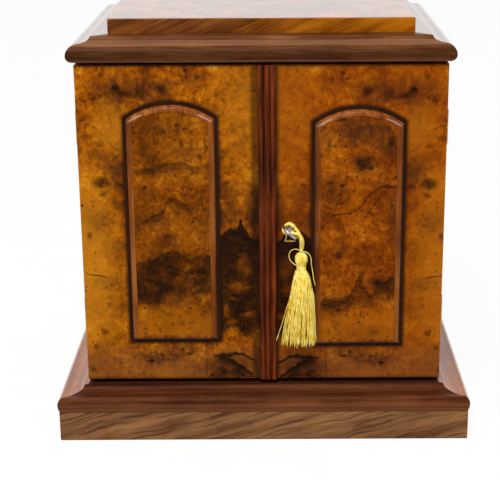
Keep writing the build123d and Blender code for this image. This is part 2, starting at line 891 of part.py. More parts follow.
bow_plane = Plane(
    origin=(key_x, bow_centre_y, key_z),
    x_dir=(cos(tilt), 0, -sin(tilt)),
    z_dir=(sin(tilt), 0, cos(tilt)),
)
with BuildPart() as key:
    with BuildSketch(bow_plane):
        Ellipse(bow_half_width, bow_half_length)
        Ellipse(bow_half_width - bow_rim, bow_half_length - bow_rim, mode=Mode.SUBTRACT)
    extrude(amount=bow_thickness / 2, both=True)
    fillet(key.edges(), bow_edge_radius)
    shank_start_y = bow_centre_y + bow_half_length - bow_rim / 2
    rod((key_x, shank_start_y, key_z), (0, 1, 0), shank_end_y - shank_start_y, key_shank_radius)
    collar_y = bow_centre_y + bow_half_length
    rod((key_x, collar_y, key_z), (0, 1, 0), key_collar_length, key_collar_radius)
    bit_plane = Plane(
        origin=(key_x, bit_middle_y, key_z),
        x_dir=(cos(tilt), 0, -sin(tilt)),
        z_dir=(sin(tilt), 0, cos(tilt)),
    )
    with BuildSketch(bit_plane):
        with Locations((bit_reach / 2, 0)):
            Rectangle(bit_reach, bit_width)
    extrude(amount=bit_thickness / 2, both=True)
save(key, "key")


# Tassel cord: up from the head, through the bow, round its rim and down again.
# Each bend is an arc as large as its two runs allow.

def by_the_tassel(across, out, up):
    """A point beside the tassel's top: across, out from the door and up."""
    return (tassel_x + across, face_y - out, tassel_top + up)


front_out = tassel_out + (cord_diameter + cord_gap) / 2
rear_out = tassel_out - (cord_diameter + cord_gap) / 2
cord_route = [
    by_the_tassel(0, front_out, 0),
    by_the_tassel(0, front_out, 4.2),
    by_the_tassel(1.0, front_out, 8.7),
    by_the_tassel(0.7, front_out + 0.2, 13.4),
    by_the_tassel(-2.6, front_out + 0.4, 16.3),
    by_the_key(3.1, 16.4, 1.6),
    by_the_key(0.2, 15.4, -2.0),
    by_the_key(-2.8, 13.3, -4.1),
    by_the_key(-5.6, 9.6, -3.9),
    by_the_key(-6.6, 6.2, -1.6),
    by_the_key(-6.4, 5.8, 1.8),
    by_the_key(-5.0, 8.2, 4.6),
    by_the_key(-2.2, 11.4, 5.8),
    by_the_key(1.4, 12.8, 5.4),
    by_the_key(5.6, 13.0, 4.0),
    by_the_tassel(0.5, rear_out + 0.1, 12.4),
    by_the_tassel(0.6, rear_out, 8.3),
    by_the_tassel(0, rear_out, 4.0),
    by_the_tassel(0, rear_out, 0),
]


def bend_radii(points):
    """Radius at each inner point: a share of the shorter run over the tangent of half the turn."""
    radii = []
    for before, here, after in zip(points, points[1:], points[2:]):
        run_in = Vector(here) - Vector(before)
        run_out = Vector(after) - Vector(here)
        turn = radians(run_in.get_angle(run_out))
        radii.append(bend_share * min(run_in.length, run_out.length) / tan(turn / 2))
    return radii


cord_radii = bend_radii(cord_route)
print("cord bend radii", [round(radius, 1) for radius in cord_radii])
with BuildPart() as tassel_cord:
    with BuildLine() as cord_line:
        FilletPolyline(*cord_route, radius=cord_radii)
    with BuildSketch(Plane(origin=cord_route[0], z_dir=Vector(cord_route[1]) - Vector(cord_route[0]))):
        Circle(cord_diameter / 2)
    sweep()
cord_length = sum(edge.length for edge in cord_line.edges())
cord_section = pi * cord_diameter**2 / 4
print("cord length", round(cord_length, 1))
print("cord volume over length and section", round(tassel_cord.part.volume / cord_length / cord_section, 3))
save(tassel_cord, "tassel_cord")

tassel_y = face_y - tassel_out
with BuildPart() as tassel_head:
    with BuildSketch(Plane(origin=(tassel_x, tassel_y, tassel_top), x_dir=(1, 0, 0), z_dir=(0, -1, 0))):
        with BuildLine():
            Line((0, 0), (head_flat_radius, 0))
            ThreePointArc(
                (head_flat_radius, 0),
                (head_radius, -head_length / 2),
                (neck_radius, -head_length),
            )
            Polyline(
                (neck_radius, -head_length),
                (neck_radius, -head_length - neck_length),
                (0, -head_length - neck_length),
                (0, 0),
            )
        make_face()
    revolve(axis=Axis((tassel_x, tassel_y, 0), (0, 0, 1)))
save(tassel_head, "tassel_head")

# Levels of the skirt: drop below the neck, sideways shift, half width, half depth
skirt_levels = [
    (0.0, 0.0, 4.9, 4.4),
    (4.5, 0.7, 6.4, 5.4),
    (22.0, 0.4, 9.9, 6.3),
    (43.0, -1.0, 12.2, 6.8),
    (62.0, -2.4, 13.9, 7.0),
]
skirt_top = tassel_top - head_length - neck_length


def skirt_outline(shift, half_width, half_depth):
    """A fluted oval whose points lie alternately on and inside the ellipse."""
    points = []
    for index in range(2 * skirt_flutes):
        angle = pi * index / skirt_flutes
        share = 1 - skirt_flute_depth * (index % 2)
        points.append((shift + half_width * share * cos(angle), half_depth * share * sin(angle)))
    with BuildLine() as section:
        Polyline(*points, close=True)
    make_face(section.edges())


with BuildPart() as tassel_skirt:
    for drop, shift, half_width, half_depth in skirt_levels:
        with BuildSketch(Plane(origin=(tassel_x, tassel_y, skirt_top - drop), z_dir=(0, 0, 1))):
            skirt_outline(shift, half_width, half_depth)
    loft(ruled=True)
save(tassel_skirt, "tassel_skirt")


# Drawers and the bearers that they run on

drawer_tops = []
level = crown_z - drawer_gap
for height in drawer_heights:
    drawer_tops.append(level)
    level -= height + drawer_gap

side_back_y = back_panel_y - drawer_back_room
side_front_y = drawer_front_y + drawer_front_thickness
side_face = drawer_half - drawer_side_thickness
knob_neck_radius = knob_radius - knob_cove
knob_edge_foot = knob_length - knob_dome - knob_edge
bearer_inner = guide_inner - bearer_depth
groove_inner = bearer_inner - bearer_clearance
bearer_parts = []

for number, (height, top) in enumerate(zip(drawer_heights, drawer_tops), start=1):
    foot = top - height
    middle = (top + foot) / 2
    side_top = top - drawer_side_drop
    side_foot = foot + drawer_foot_gap
    floor = foot + drawer_bottom_lift + drawer_bottom_thickness

    with BuildPart() as drawer_front:
        block((-drawer_half, drawer_front_y, foot), (drawer_half, side_front_y, top))
        for side in (-1, 1):
            rod(
                (side * knob_spacing / 2, drawer_front_y, middle),
                (0, 1, 0),
                knob_spigot_length + knob_fit,
                knob_spigot_radius + knob_fit,
                mode=Mode.SUBTRACT,
            )
    save(drawer_front, f"drawer_{number}_front")

    box_boards = []
    for side in (-1, 1):
        with BuildPart() as drawer_side:
            block(
                (min(side * side_face, side * drawer_half), side_front_y, side_foot),
                (max(side * side_face, side * drawer_half), side_back_y, side_top),
            )
            block(
                (
                    min(side * groove_inner, side * drawer_half),
                    side_front_y,
                    middle - bearer_height / 2 - bearer_clearance,
                ),
                (
                    max(side * groove_inner, side * drawer_half),
                    side_back_y,
                    middle + bearer_height / 2 + bearer_clearance,
                ),
                mode=Mode.SUBTRACT,
            )
        box_boards.append(drawer_side)
    with BuildPart() as drawer_back:
        block(
            (-side_face, side_back_y - drawer_side_thickness, side_foot),
            (side_face, side_back_y, side_top),
        )
    box_boards.append(drawer_back)
    with BuildPart() as drawer_bottom:
        block(
            (-side_face, side_front_y, foot + drawer_bottom_lift),
            (side_face, side_back_y - drawer_side_thickness, floor),
        )
    box_boards.append(drawer_bottom)
    save_group(box_boards, f"drawer_{number}_box")

    with BuildPart() as drawer_lining:
        block(
            (-side_face, side_front_y, floor),
            (side_face, side_back_y - drawer_side_thickness, side_top),
        )
        block(
            (-side_face + lining_wall, side_front_y + lining_wall, floor + lining_floor),
            (
                side_face - lining_wall,
                side_back_y - drawer_side_thickness - lining_wall,
                side_top,
            ),
            mode=Mode.SUBTRACT,
        )
    save(drawer_lining, f"drawer_{number}_lining")

    with BuildPart() as drawer_knobs:
        for side in (-1, 1):
            spot = Plane(
                origin=(side * knob_spacing / 2, drawer_front_y, middle),
                x_dir=(0, 0, 1),
                z_dir=(1, 0, 0),
            )
            with BuildSketch(spot):
                with BuildLine():
                    Polyline(
                        (0, knob_length),
                        (0, -knob_spigot_length),
                        (knob_spigot_radius, -knob_spigot_length),
                        (knob_spigot_radius, 0),
                        (knob_rose_radius, 0),
                        (knob_rose_radius, knob_rose_length),
                        (knob_neck_radius, knob_rose_length + knob_rose_slope),
                        (knob_neck_radius, knob_edge_foot - knob_cove),
                    )
                    TangentArc(
                        (knob_neck_radius, knob_edge_foot - knob_cove),
                        (knob_radius, knob_edge_foot),
                        tangent=(0, 1),
                    )
                    Line((knob_radius, knob_edge_foot), (knob_radius, knob_edge_foot + knob_edge))
                    TangentArc(
                        (0, knob_length),
                        (knob_radius, knob_edge_foot + knob_edge),
                        tangent=(1, 0),
                    )
                make_face()
            revolve(axis=Axis((side * knob_spacing / 2, drawer_front_y, middle), (0, 1, 0)))
    save(drawer_knobs, f"drawer_{number}_knobs")

    for side in (-1, 1):
        with BuildPart() as bearer:
            block(
                (
                    min(side * bearer_inner, side * guide_inner),
                    side_front_y + bearer_clearance,
                    middle - bearer_height / 2,
                ),
                (
                    max(side * bearer_inner, side * guide_inner),
                    back_panel_y,
                    middle + bearer_height / 2,
                ),
            )
        bearer_parts.append(bearer)

save_group(bearer_parts, "drawer_bearers")

overall = (case_width + 2 * base_nose, case_depth + base_nose, top_z + cap_height)
print("overall width, depth and height", overall)
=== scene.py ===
# %% [markdown]
# # A table-top collector's cabinet in burr walnut
# The carcass, doors, drawers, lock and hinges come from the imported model, at their real size. This
# notebook dresses them: book-matched burr veneer on the doors, French-polished mouldings, aged
# brass, and a silk tassel on the key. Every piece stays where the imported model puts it.

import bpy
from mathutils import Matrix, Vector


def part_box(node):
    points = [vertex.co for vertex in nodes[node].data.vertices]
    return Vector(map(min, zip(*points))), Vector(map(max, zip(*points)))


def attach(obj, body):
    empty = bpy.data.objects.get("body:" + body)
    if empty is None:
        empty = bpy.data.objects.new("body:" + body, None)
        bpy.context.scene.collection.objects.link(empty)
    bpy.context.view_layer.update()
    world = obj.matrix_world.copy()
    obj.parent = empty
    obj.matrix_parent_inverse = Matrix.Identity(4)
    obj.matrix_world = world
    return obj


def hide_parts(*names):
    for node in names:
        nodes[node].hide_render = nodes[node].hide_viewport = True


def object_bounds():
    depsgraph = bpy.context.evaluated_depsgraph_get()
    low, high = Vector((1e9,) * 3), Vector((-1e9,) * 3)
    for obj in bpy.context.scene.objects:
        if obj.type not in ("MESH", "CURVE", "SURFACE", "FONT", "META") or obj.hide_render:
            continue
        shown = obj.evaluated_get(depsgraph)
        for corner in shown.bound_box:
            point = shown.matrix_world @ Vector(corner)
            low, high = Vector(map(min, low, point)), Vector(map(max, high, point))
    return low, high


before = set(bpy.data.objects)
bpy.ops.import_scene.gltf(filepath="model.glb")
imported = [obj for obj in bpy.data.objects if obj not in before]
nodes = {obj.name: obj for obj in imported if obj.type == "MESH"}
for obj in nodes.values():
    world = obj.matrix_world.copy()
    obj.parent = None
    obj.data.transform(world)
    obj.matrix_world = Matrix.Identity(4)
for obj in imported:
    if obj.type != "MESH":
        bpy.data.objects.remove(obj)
cad_low, cad_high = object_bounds()
print("pieces in the packed model:", len(nodes))
print("its box in metres:", [round(value, 4) for value in (*cad_low, *cad_high)])

import bpy
import numpy as np
from mathutils import Matrix, Vector

MM = 0.001
SEED = 1870
chance = np.random.default_rng(SEED)
print("a millimetre in metres:", MM, "seed of the random draws:", SEED)

# %% [markdown]
# ## The camera
# The photograph looks slightly down at the front, from a little more than a metre away. Its lens
# and place follow from the vanishing lines of the case. A small sideways shift frames the case as
# the photograph does, and a tilt of a quarter of a degree levels it the same way.

# %% Place the camera
IMAGE_WIDTH = 500
FOCAL_PIXELS = 1340.05
CENTRE_COLUMN = 276.57
EYE = Vector((11.48, -1171.5, 502.95)) * MM
LOOK_DOWN = np.radians(17.367)
ROLL = np.radians(-0.28)

camera_data = bpy.data.cameras.new("camera")
camera_data.sensor_width = 36
camera_data.lens = FOCAL_PIXELS / IMAGE_WIDTH * camera_data.sensor_width
camera_data.shift_x = (IMAGE_WIDTH / 2 - CENTRE_COLUMN) / IMAGE_WIDTH
camera = bpy.data.objects.new("camera", camera_data)
turn = Matrix.Rotation(np.pi / 2 - LOOK_DOWN, 4, "X") @ Matrix.Rotation(ROLL, 4, "Z")
camera.matrix_world = Matrix.Translation(EYE) @ turn
bpy.context.scene.collection.objects.link(camera)
bpy.context.scene.camera = camera
print("lens", round(camera_data.lens, 2), "mm, shift", round(camera_data.shift_x, 4))

# %% [markdown]
# ## Measures that the finish follows
# Patterns in the veneer are placed by where the doors and panels really are, so these few lines
# read them from the imported model instead of repeating its numbers.

# %% Read the places of doors, panels and cap
def span(name):
    """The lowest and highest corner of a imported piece, in millimetres."""
    low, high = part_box(name)
    return np.array(low) / MM, np.array(high) / MM


board_low, board_high = span("left_door_board")
left_panel_low, left_panel_high = span("left_raised_panel")
right_panel_low, right_panel_high = span("right_raised_panel")
left_middle = (left_panel_low[0] + left_panel_high[0]) / 2
right_middle = (right_panel_low[0] + right_panel_high[0]) / 2
MEETING_LINE = (left_middle + right_middle) / 2
PANEL_DROP = left_panel_high[2] - right_panel_high[2]
FACE_Y = board_low[1]
_, cap_high = span("cap_board")
print("book match about x", round(MEETING_LINE, 2), "panel drop", round(PANEL_DROP, 2))

# %% [markdown]
# ## Shader maths as plain expressions
# Polished wood is layers of pattern added, masked and mixed. Written node by node that is hard to
# follow, so one small class wraps a socket: an expression such as `1 - mask * 0.5` adds its own
# Math nodes, and everything that isn't plain arithmetic comes from one method, `add`.

# %% The wrapped socket
def arithmetic(operation, swapped=False):
    """A method that adds one Math node; swapped is the reflected form, as in `1 - mask`."""
    def method(self, other):
        """Adds the node for this wire and the other value."""
        values = (other, self) if swapped else (self, other)
        return self.maths(operation, *values)
    return method


class Wire:
    """One socket of a material. Arithmetic on it adds Math nodes; add() makes any other node."""

    def __init__(self, tree, socket=None):
        """A wire of this node tree; without a socket it only serves to add the first node."""
        self.tree, self.socket = tree, socket

    def add(self, kind, settings=None, inputs=None, output=0):
        """Adds a node: its settings, then the value or link of each socket named in inputs."""
        node = self.tree.nodes.new("ShaderNode" + kind)
        for name, value in (settings or {}).items():
            if name == "stops":
                fill_ramp(node.color_ramp, value)
            elif name == "curve":
                fill_curve(node.mapping, value)
            else:
                setattr(node, name, value)
        for name, value in (inputs or {}).items():
            if isinstance(value, Wire):
                self.tree.links.new(value.socket, node.inputs[name])
            else:
                node.inputs[name].default_value = value
        return Wire(self.tree, node.outputs[output])

    def maths(self, operation, *values, clamp=False):
        """Adds a Math node; clamp keeps its result between 0 and 1."""
        settings = {"operation": operation, "use_clamp": clamp}
        return self.add("Math", settings, dict(enumerate(values)))

    __add__, __radd__ = arithmetic("ADD"), arithmetic("ADD", True)
    __sub__, __rsub__ = arithmetic("SUBTRACT"), arithmetic("SUBTRACT", True)
    __mul__, __rmul__ = arithmetic("MULTIPLY"), arithmetic("MULTIPLY", True)
    __truediv__ = arithmetic("DIVIDE")

    def __abs__(self):
        """The value without its sign."""
        return self.maths("ABSOLUTE", self)

    def clamp(self):
        """The value kept between 0 and 1."""
        return self.maths("ADD", self, 0.0, clamp=True)

    def greater(self, edge):
        """1 where the value is above the edge, and 0 elsewhere."""
        return self.maths("GREATER_THAN", self, edge)

    def larger(self, other):
        """The larger of the two values at each place."""
        return self.maths("MAXIMUM", self, other)

    def rise(self, start, end):
        """Goes smoothly from 0 at start to 1 at end, and the other way where end is below start."""
        settings = {"interpolation_type": "SMOOTHSTEP"}
        low, high, first, last = (start, end, 0.0, 1.0) if start < end else (end, start, 1.0, 0.0)
        inputs = {0: self, 1: low, 2: high, 3: first, 4: last}
        return self.add("MapRange", settings, inputs)


# %% Ramps, curves and colours
def fill_ramp(ramp, stops):
    """Sets a colour ramp's stops from (place, colour) pairs."""
    while len(ramp.elements) > 1:
        ramp.elements.remove(ramp.elements[-1])
    ramp.elements[0].position, ramp.elements[0].color = stops[0][0], (*stops[0][1], 1)
    for place, colour in stops[1:]:
        ramp.elements.new(place).color = (*colour, 1)


def fill_curve(mapping, points):
    """Sets a float curve's points; the first and last are its two ends."""
    curve = mapping.curves[0]
    curve.points[0].location, curve.points[1].location = points[0], points[-1]
    for point in points[1:-1]:
        curve.points.new(*point)
    mapping.update()


def rgb(red, green, blue):
    """A colour as seen on screen, from 0 to 255, turned to the linear values that shaders use."""
    seen = np.array([red, green, blue]) / 255
    return tuple(np.where(seen <= 0.04045, seen / 12.92, ((seen + 0.055) / 1.055) ** 2.4))


print("middle grey of a screen as a linear value:", round(float(rgb(128, 128, 128)[0]), 3))

# %% [markdown]
# ## Patterns for wood
# Veneer is a thin sheet, so its figure is a drawing on a plane, and here that plane is the front of
# the case in millimetres. The places are bent by a soft cloud before anything is drawn on them,
# which is how the fibres of a burr wander. Fixed features are drawn from round spots and from
# edges that a curve describes; the bending makes their outlines grow naturally.

# %% A new material, and places on its piece
def start_material(name, roughness, specular=0.5, coat=0.0, coat_roughness=0.1, coat_index=1.5):
    """A new material with its shader; returns it, the shader and the place on the piece in mm."""
    material = bpy.data.materials.new(name)
    material.use_nodes = True
    shader = material.node_tree.nodes["Principled BSDF"]
    shader.inputs["Roughness"].default_value = roughness
    shader.inputs["Specular IOR Level"].default_value = specular
    shader.inputs["Coat Weight"].default_value = coat
    shader.inputs["Coat Roughness"].default_value = coat_roughness
    shader.inputs["Coat IOR"].default_value = coat_index
    place = Wire(material.node_tree).add("TexCoord", output="Object")
    return material, shader, stretch(place, (1 / MM, 1 / MM, 1 / MM))


def vector_maths(operation, first, second):
    """A sum, difference or product of two vectors, part by part."""
    return first.add("VectorMath", {"operation": operation}, {0: first, 1: second})


def stretch(place, factors):
    """The place times one factor for each axis; a factor below 1 draws a pattern out that way."""
    return vector_maths("MULTIPLY", place, factors)


def split(place, axis):
    """One coordinate of a place."""
    return place.add("SeparateXYZ", {}, {"Vector": place}, axis)


def turned(place, angles):
    """The place turned by these degrees about X, Y and Z."""
    return place.add("Mapping", {}, {"Vector": place, "Rotation": np.radians(angles)})


# %% Clouds, and places bent by them
def cloud(place, size, detail=2.0, roughness=0.5, distortion=0.0, output=0):
    """Soft noise from 0 to 1 whose blotches are about size millimetres wide."""
    inputs = {"Vector": place, "Scale": 1 / size, "Detail": detail,
              "Roughness": roughness, "Distortion": distortion}
    return place.add("TexNoise", {}, inputs, output)


def bent(place, size, amount, detail=2.0):
    """Each place moved by a cloud of vectors, up to about half of amount each way."""
    push = vector_maths("SUBTRACT", cloud(place, size, detail, output="Color"), (0.5, 0.5, 0.5))
    return vector_maths("ADD", place, stretch(push, (amount, amount, amount)))


# %% Spots, drawn edges, veins and smoke
def spot(place, across, up, half_width, half_height, core=0.25):
    """1 within a round spot and 0 past its edge: the scaled distance from its middle, eased."""
    inputs = {"Vector": place, "Location": (-across / half_width, 0, -up / half_height),
              "Scale": (1 / half_width, 0, 1 / half_height)}
    scaled = place.add("Mapping", {}, inputs)
    return scaled.add("VectorMath", {"operation": "LENGTH"}, {0: scaled}, "Value").rise(1.0, core)


def spots(place, drawn):
    """The strongest of several spots at each place.

    Each is (across, up, half width, half height, strength), and its core where that isn't usual.
    """
    total = None
    for across, up, half_width, half_height, strength, *core in drawn:
        one = spot(place, across, up, half_width, half_height, *core) * strength
        total = one if total is None else total.larger(one)
    return total


def edge_height(across, points):
    """The height of a smooth line through these (across, height) points, at each across."""
    points = np.array(sorted(points), float)
    low, high = points.min(0), points.max(0)
    share = (across - low[0]) / (high[0] - low[0])
    settings = {"curve": [tuple(pair) for pair in (points - low) / (high - low)]}
    return share.add("FloatCurve", settings, {"Value": share}) * (high[1] - low[1]) + low[1]


def vein(across, up, points, width):
    """A thin dark line along a drawn edge, fading past its two ends."""
    ends = sorted(point[0] for point in points)
    inside = across.rise(ends[0] - 2, ends[0] + 2) * across.rise(ends[-1] + 2, ends[-1] - 2)
    return abs(up - edge_height(across, points)).rise(width, width * 0.2) * inside


def smoky_band(across, up, points, thickness, strength):
    """A drawn edge with smoke hanging below it: darkest at the edge, gone at its thickness."""
    ends = sorted(point[0] for point in points)
    inside = across.rise(ends[0] - 3, ends[0] + 2) * across.rise(ends[-1] + 3, ends[-1] - 2)
    depth = edge_height(across, points) - up
    return depth.rise(-1.0, 0.6) * depth.rise(thickness, thickness * 0.15) * inside * strength


# %% Colours mixed and fed into the shader
def mix(share, first, second):
    """Goes from the first colour to the second as share goes from 0 to 1."""
    settings = {"data_type": "RGBA"}
    source = next(item for item in (share, first, second) if isinstance(item, Wire))
    values = [item if isinstance(item, (Wire, float)) else (*item, 1) for item in (first, second)]
    return source.add("Mix", settings, {0: share, 6: values[0], 7: values[1]}, output=2)


def ramp(share, *stops):
    """The colour at share along a ramp of (place, colour) stops."""
    return share.add("ValToRGB", {"stops": stops}, {"Fac": share})


def finish_shader(shader, colour=None, roughness=None, height=None, depth=0.0001, coat=None):
    """Feeds patterns into the shader: colour, roughness, relief in metres and coat of polish."""
    links = {"Base Color": colour, "Roughness": roughness, "Coat Weight": coat}
    if height is not None:
        inputs = {"Height": height, "Distance": depth, "Strength": 1.0}
        links["Normal"] = height.add("Bump", {}, inputs)
    for name, wire in links.items():
        if wire is not None:
            wire.tree.links.new(wire.socket, shader.inputs[name])


# %% [markdown]
# ## Plain wood
# Mouldings, sides and drawers are straight-grained. Such wood is long soft streaks of two or three
# browns, a few darker growth lines, and pores that lie along the grain as short dark dashes. One
# recipe serves all of it, told which way the grain runs, how wide its streaks are, and its browns.

# %% The recipe for straight grain
GRAIN_STRETCH = 0.045
PORE_STRETCH = 0.12
RING_STRETCH = 0.22
WAVE_PERIOD = 2 * np.pi / 20
TONE_PLACES = (0.28, 0.40, 0.50, 0.60, 0.74)


def along_grain(place, along, factor):
    """The place with its coordinate along the grain times factor, so that patterns run that way."""
    factors = [1.0, 1.0, 1.0]
    factors["XYZ".index(along)] = factor
    return stretch(place, factors)


def ring_lines(place, along, spacing):
    """Growth rings cut lengthways: wandering dark lines about spacing mm apart, some faint."""
    across = {"X": "Z", "Y": "Z", "Z": "X"}[along]
    drawn_out = along_grain(place, along, RING_STRETCH)
    inputs = {"Vector": drawn_out, "Scale": WAVE_PERIOD / spacing, "Distortion": 9.0,
              "Detail": 2.0, "Detail Scale": 0.9}
    wave = place.add("TexWave", {"bands_direction": across}, inputs, "Fac")
    return wave.rise(0.62, 0.98) * cloud(drawn_out, spacing * 1.6, 2).rise(0.38, 0.62)


def grain_pattern(place, tones, along, streak, pores, wave, rings=0.0):
    """Colour, relief and lines of wood whose grain runs along X, Y or Z, in five browns.

    Its tone is one half plus the weighed swings of wide streaks, fine lines and slow clouds.
    """
    wavy = bent(place, 34, wave, 2)
    lengthways = along_grain(wavy, along, GRAIN_STRETCH)
    streaks = cloud(lengthways, streak * 2.6, 4, 0.6)
    lines = cloud(lengthways, streak * 0.5, 3, 0.65)
    clouds = cloud(wavy, 46, 2, 0.5)
    tone = (streaks - 0.5) * 0.9 + (lines - 0.5) * 0.45 + (clouds - 0.5) * 0.4 + 0.5
    holes = cloud(along_grain(wavy, along, PORE_STRETCH), 0.42, 2, 0.5).rise(0.60, 0.72)
    colour = ramp(tone, *zip(TONE_PLACES, tones))
    shadow = tuple(0.35 * value for value in tones[0])
    if rings:
        colour = mix(ring_lines(wavy, along, rings) * 0.62, colour, shadow)
    colour = mix(holes * pores, colour, shadow)
    return colour, tone - holes * 0.5, lines


def straight_wood(name, tones, along, streak=2.6, pores=0.4, slant=0.0, polish=0.30,
                  specular=0.08, wave=3.0, rings=0.0):
    """One plain wood; slant turns its grain by that many degrees about Y."""
    material, shader, place = start_material(name, polish, specular)
    if slant:
        place = turned(place, (0, slant, 0))
    colour, relief, lines = grain_pattern(place, tones, along, streak, pores, wave, rings)
    finish_shader(shader, colour, polish - 0.05 + lines * 0.12, relief, 0.00005)
    return material


# %% The plain woods of this cabinet
def browns(*seen):
    """The five colours of a wood as seen on screen, from its darkest streak to its palest."""
    return [rgb(*colour) for colour in seen]


REDDISH = browns((64, 30, 14), (92, 48, 26), (116, 66, 40), (136, 84, 54), (160, 108, 76))
ROSY = browns((130, 70, 36), (146, 82, 44), (160, 92, 52), (172, 102, 58), (186, 118, 72))
CORE = browns((74, 40, 14), (100, 58, 22), (124, 76, 33), (146, 94, 46), (170, 118, 66))
PALE = browns((104, 66, 30), (130, 86, 44), (152, 106, 60), (172, 126, 78), (192, 148, 98))
woods = {
    "plinth": straight_wood("plinth_wood", browns((92, 55, 30), (112, 71, 42), (130, 88, 56),
                            (148, 102, 62), (164, 116, 72)), "X", 3.4, 0.3, 15, 0.4, 0.06, 7, 5.2),
    "plinth_side": straight_wood("plinth_side_wood", browns((74, 44, 26), (98, 62, 38),
                                 (122, 82, 54), (144, 104, 74), (168, 128, 96)), "Y", 3.4),
    "strip": straight_wood("strip_wood", browns((48, 13, 2), (66, 22, 4), (90, 34, 6),
                           (112, 47, 10), (140, 66, 22)), "Z", 1.2, 0.3, 0, 0.26, 0.10),
    "side": straight_wood("side_veneer", browns((76, 38, 10), (104, 57, 18), (130, 76, 27),
                          (152, 94, 38), (176, 118, 58)), "Z", 3.6, 0.45, 0, 0.34, 0.10, 9, 13),
    "inner": straight_wood("inner_wood", PALE, "X", 3.2, 0.35, 0, 0.5, 0.10, 5, 12),
    "drawer_box": straight_wood("drawer_box_wood", PALE, "Y", 3.2, 0.35, 0, 0.5, 0.10, 5, 9),
    "back": straight_wood("back_wood", browns((90, 54, 24), (114, 72, 36), (136, 90, 48),
                          (156, 110, 64), (176, 132, 84)), "Z", 4.0, 0.4, 0, 0.55, 0.12, 7, 16),
    "drawer": straight_wood("drawer_veneer", browns((84, 42, 12), (112, 62, 20), (140, 84, 30),
                            (162, 104, 44), (188, 132, 68)), "X", 2.8, 0.4, 0, 0.34, 0.10, 7, 11),
}
print("straight-grained woods:", len(woods))

# %% [markdown]
# ## Burr walnut
# A burr is a growth full of buds. Cut into veneer it shows pools of light and dark, lines that curl
# round them, and a rash of tiny eyes. Two neighbouring leaves of one block are opened like a book,
# so the right door mirrors the left. The figure could be painted as an image; here it stays a
# recipe, so that it is as sharp in a close view as from afar.

# %% The figure of a burr
AMBER = [(0.20, rgb(84, 38, 2)), (0.34, rgb(118, 56, 0)), (0.46, rgb(146, 74, 0)),
         (0.58, rgb(163, 88, 1)), (0.72, rgb(184, 108, 6)), (0.86, rgb(206, 138, 36))]
FIELD = [(0.20, rgb(52, 20, 0)), (0.34, rgb(88, 38, 0)), (0.46, rgb(120, 58, 0)),
         (0.58, rgb(143, 74, 2)), (0.72, rgb(168, 94, 8)), (0.86, rgb(194, 122, 30))]
POLISH = 0.045
# Black of the scorched figure, and of the painted shade at the doors' top and beside the strip.
BURNT_AND_SHADE = rgb(13, 6, 2)
BUD = rgb(58, 17, 2)
SMOKE_BROWN = rgb(62, 33, 12)
EYES_BY_SIZE = ((4.2, 0.5, 1.0), (2.3, 0.3, 0.55))


def eyes_of(place, size, share):
    """Little round buds about size apart, dark in the middle; only some cells hold one."""
    cells = {"Vector": place, "Scale": 1 / size}
    distance = place.add("TexVoronoi", {}, cells, "Distance")
    lot = place.add("TexVoronoi", {}, cells, "Color")
    drawn = lot.add("SeparateColor", {}, {"Color": lot}, "Red")
    return distance.rise(0.36, 0.14) * drawn.rise(1 - share, 1.05 - share * 0.6)


def burr_figure(place, stops):
    """Colour, darkness of the eyes, and relief of a burr: pools, curling lines, eyes and fibres."""
    drifting = bent(place, 24, 16, 3)
    pools = cloud(drifting, 26, 3, 0.5)
    curls = cloud(bent(drifting, 5, 7), 5, 3, 0.5)
    fibres = cloud(stretch(bent(place, 6, 5), (1, 1, 0.5)), 1.5, 3, 0.7)
    ridges = 1 - abs(cloud(bent(drifting, 7, 11, 3), 9, 2, 0.5) - 0.5) * 9
    tone = (pools - 0.5) * 1.2 + (curls - 0.5) * 0.95 + (fibres - 0.5) * 0.52 + 0.52
    tone = tone - ridges.larger(0.0) * 0.10
    jittered = bent(place, 3, 1.8)
    rash = cloud(place, 15).rise(0.41, 0.58)
    eyes = eyes_of(bent(place, 5, 3), 7.0, 0.5) * cloud(place, 22).rise(0.40, 0.54) * 0.6
    for size, share, strength in EYES_BY_SIZE:
        eyes = eyes.larger(eyes_of(jittered, size, share) * rash * strength)
    return ramp(tone, *stops), eyes, tone


def darkened(colour, share, shade=BURNT_AND_SHADE):
    """The colour mixed towards a dark shade by share."""
    return mix(share, colour, shade)


# %% The outline of a panel
ARCH_RISE = 9.5


def outside_panel(place, middle, moulding, field):
    """How far a place lies outside the outline of a panel's moulding, in mm.

    The largest of three distances: past the side, past the foot, and past the arch, which is the
    distance from the arch's centre less its radius, counted only above that centre.
    """
    (low, high), (field_low, field_high) = moulding, field
    half, field_half = (high[0] - low[0]) / 2, (field_high[0] - field_low[0]) / 2
    radius = (field_half ** 2 + ARCH_RISE ** 2) / (2 * ARCH_RISE) + half - field_half
    across = split(place, "X") - middle
    up = split(place, "Z")
    above = (up - (high[2] - radius)).larger(0.0)
    reach = place.add("CombineXYZ", {}, {"X": across, "Z": above})
    arch = reach.add("VectorMath", {"operation": "LENGTH"}, {0: reach}, "Value") - radius
    return arch.larger(abs(across) - half).larger(low[2] - up)


# %% [markdown]
# ## What this burr shows
# The eye finds a few landmarks on these doors: a pair of knots under the crown, a near-black pool
# against the closing strip on both doors, scorched streaks at the foot, and a stormy cloud in the
# lower half of each panel. They are listed here by their distance from the meeting line and their
# height, once for both doors, and each panel has its own list about its middle.

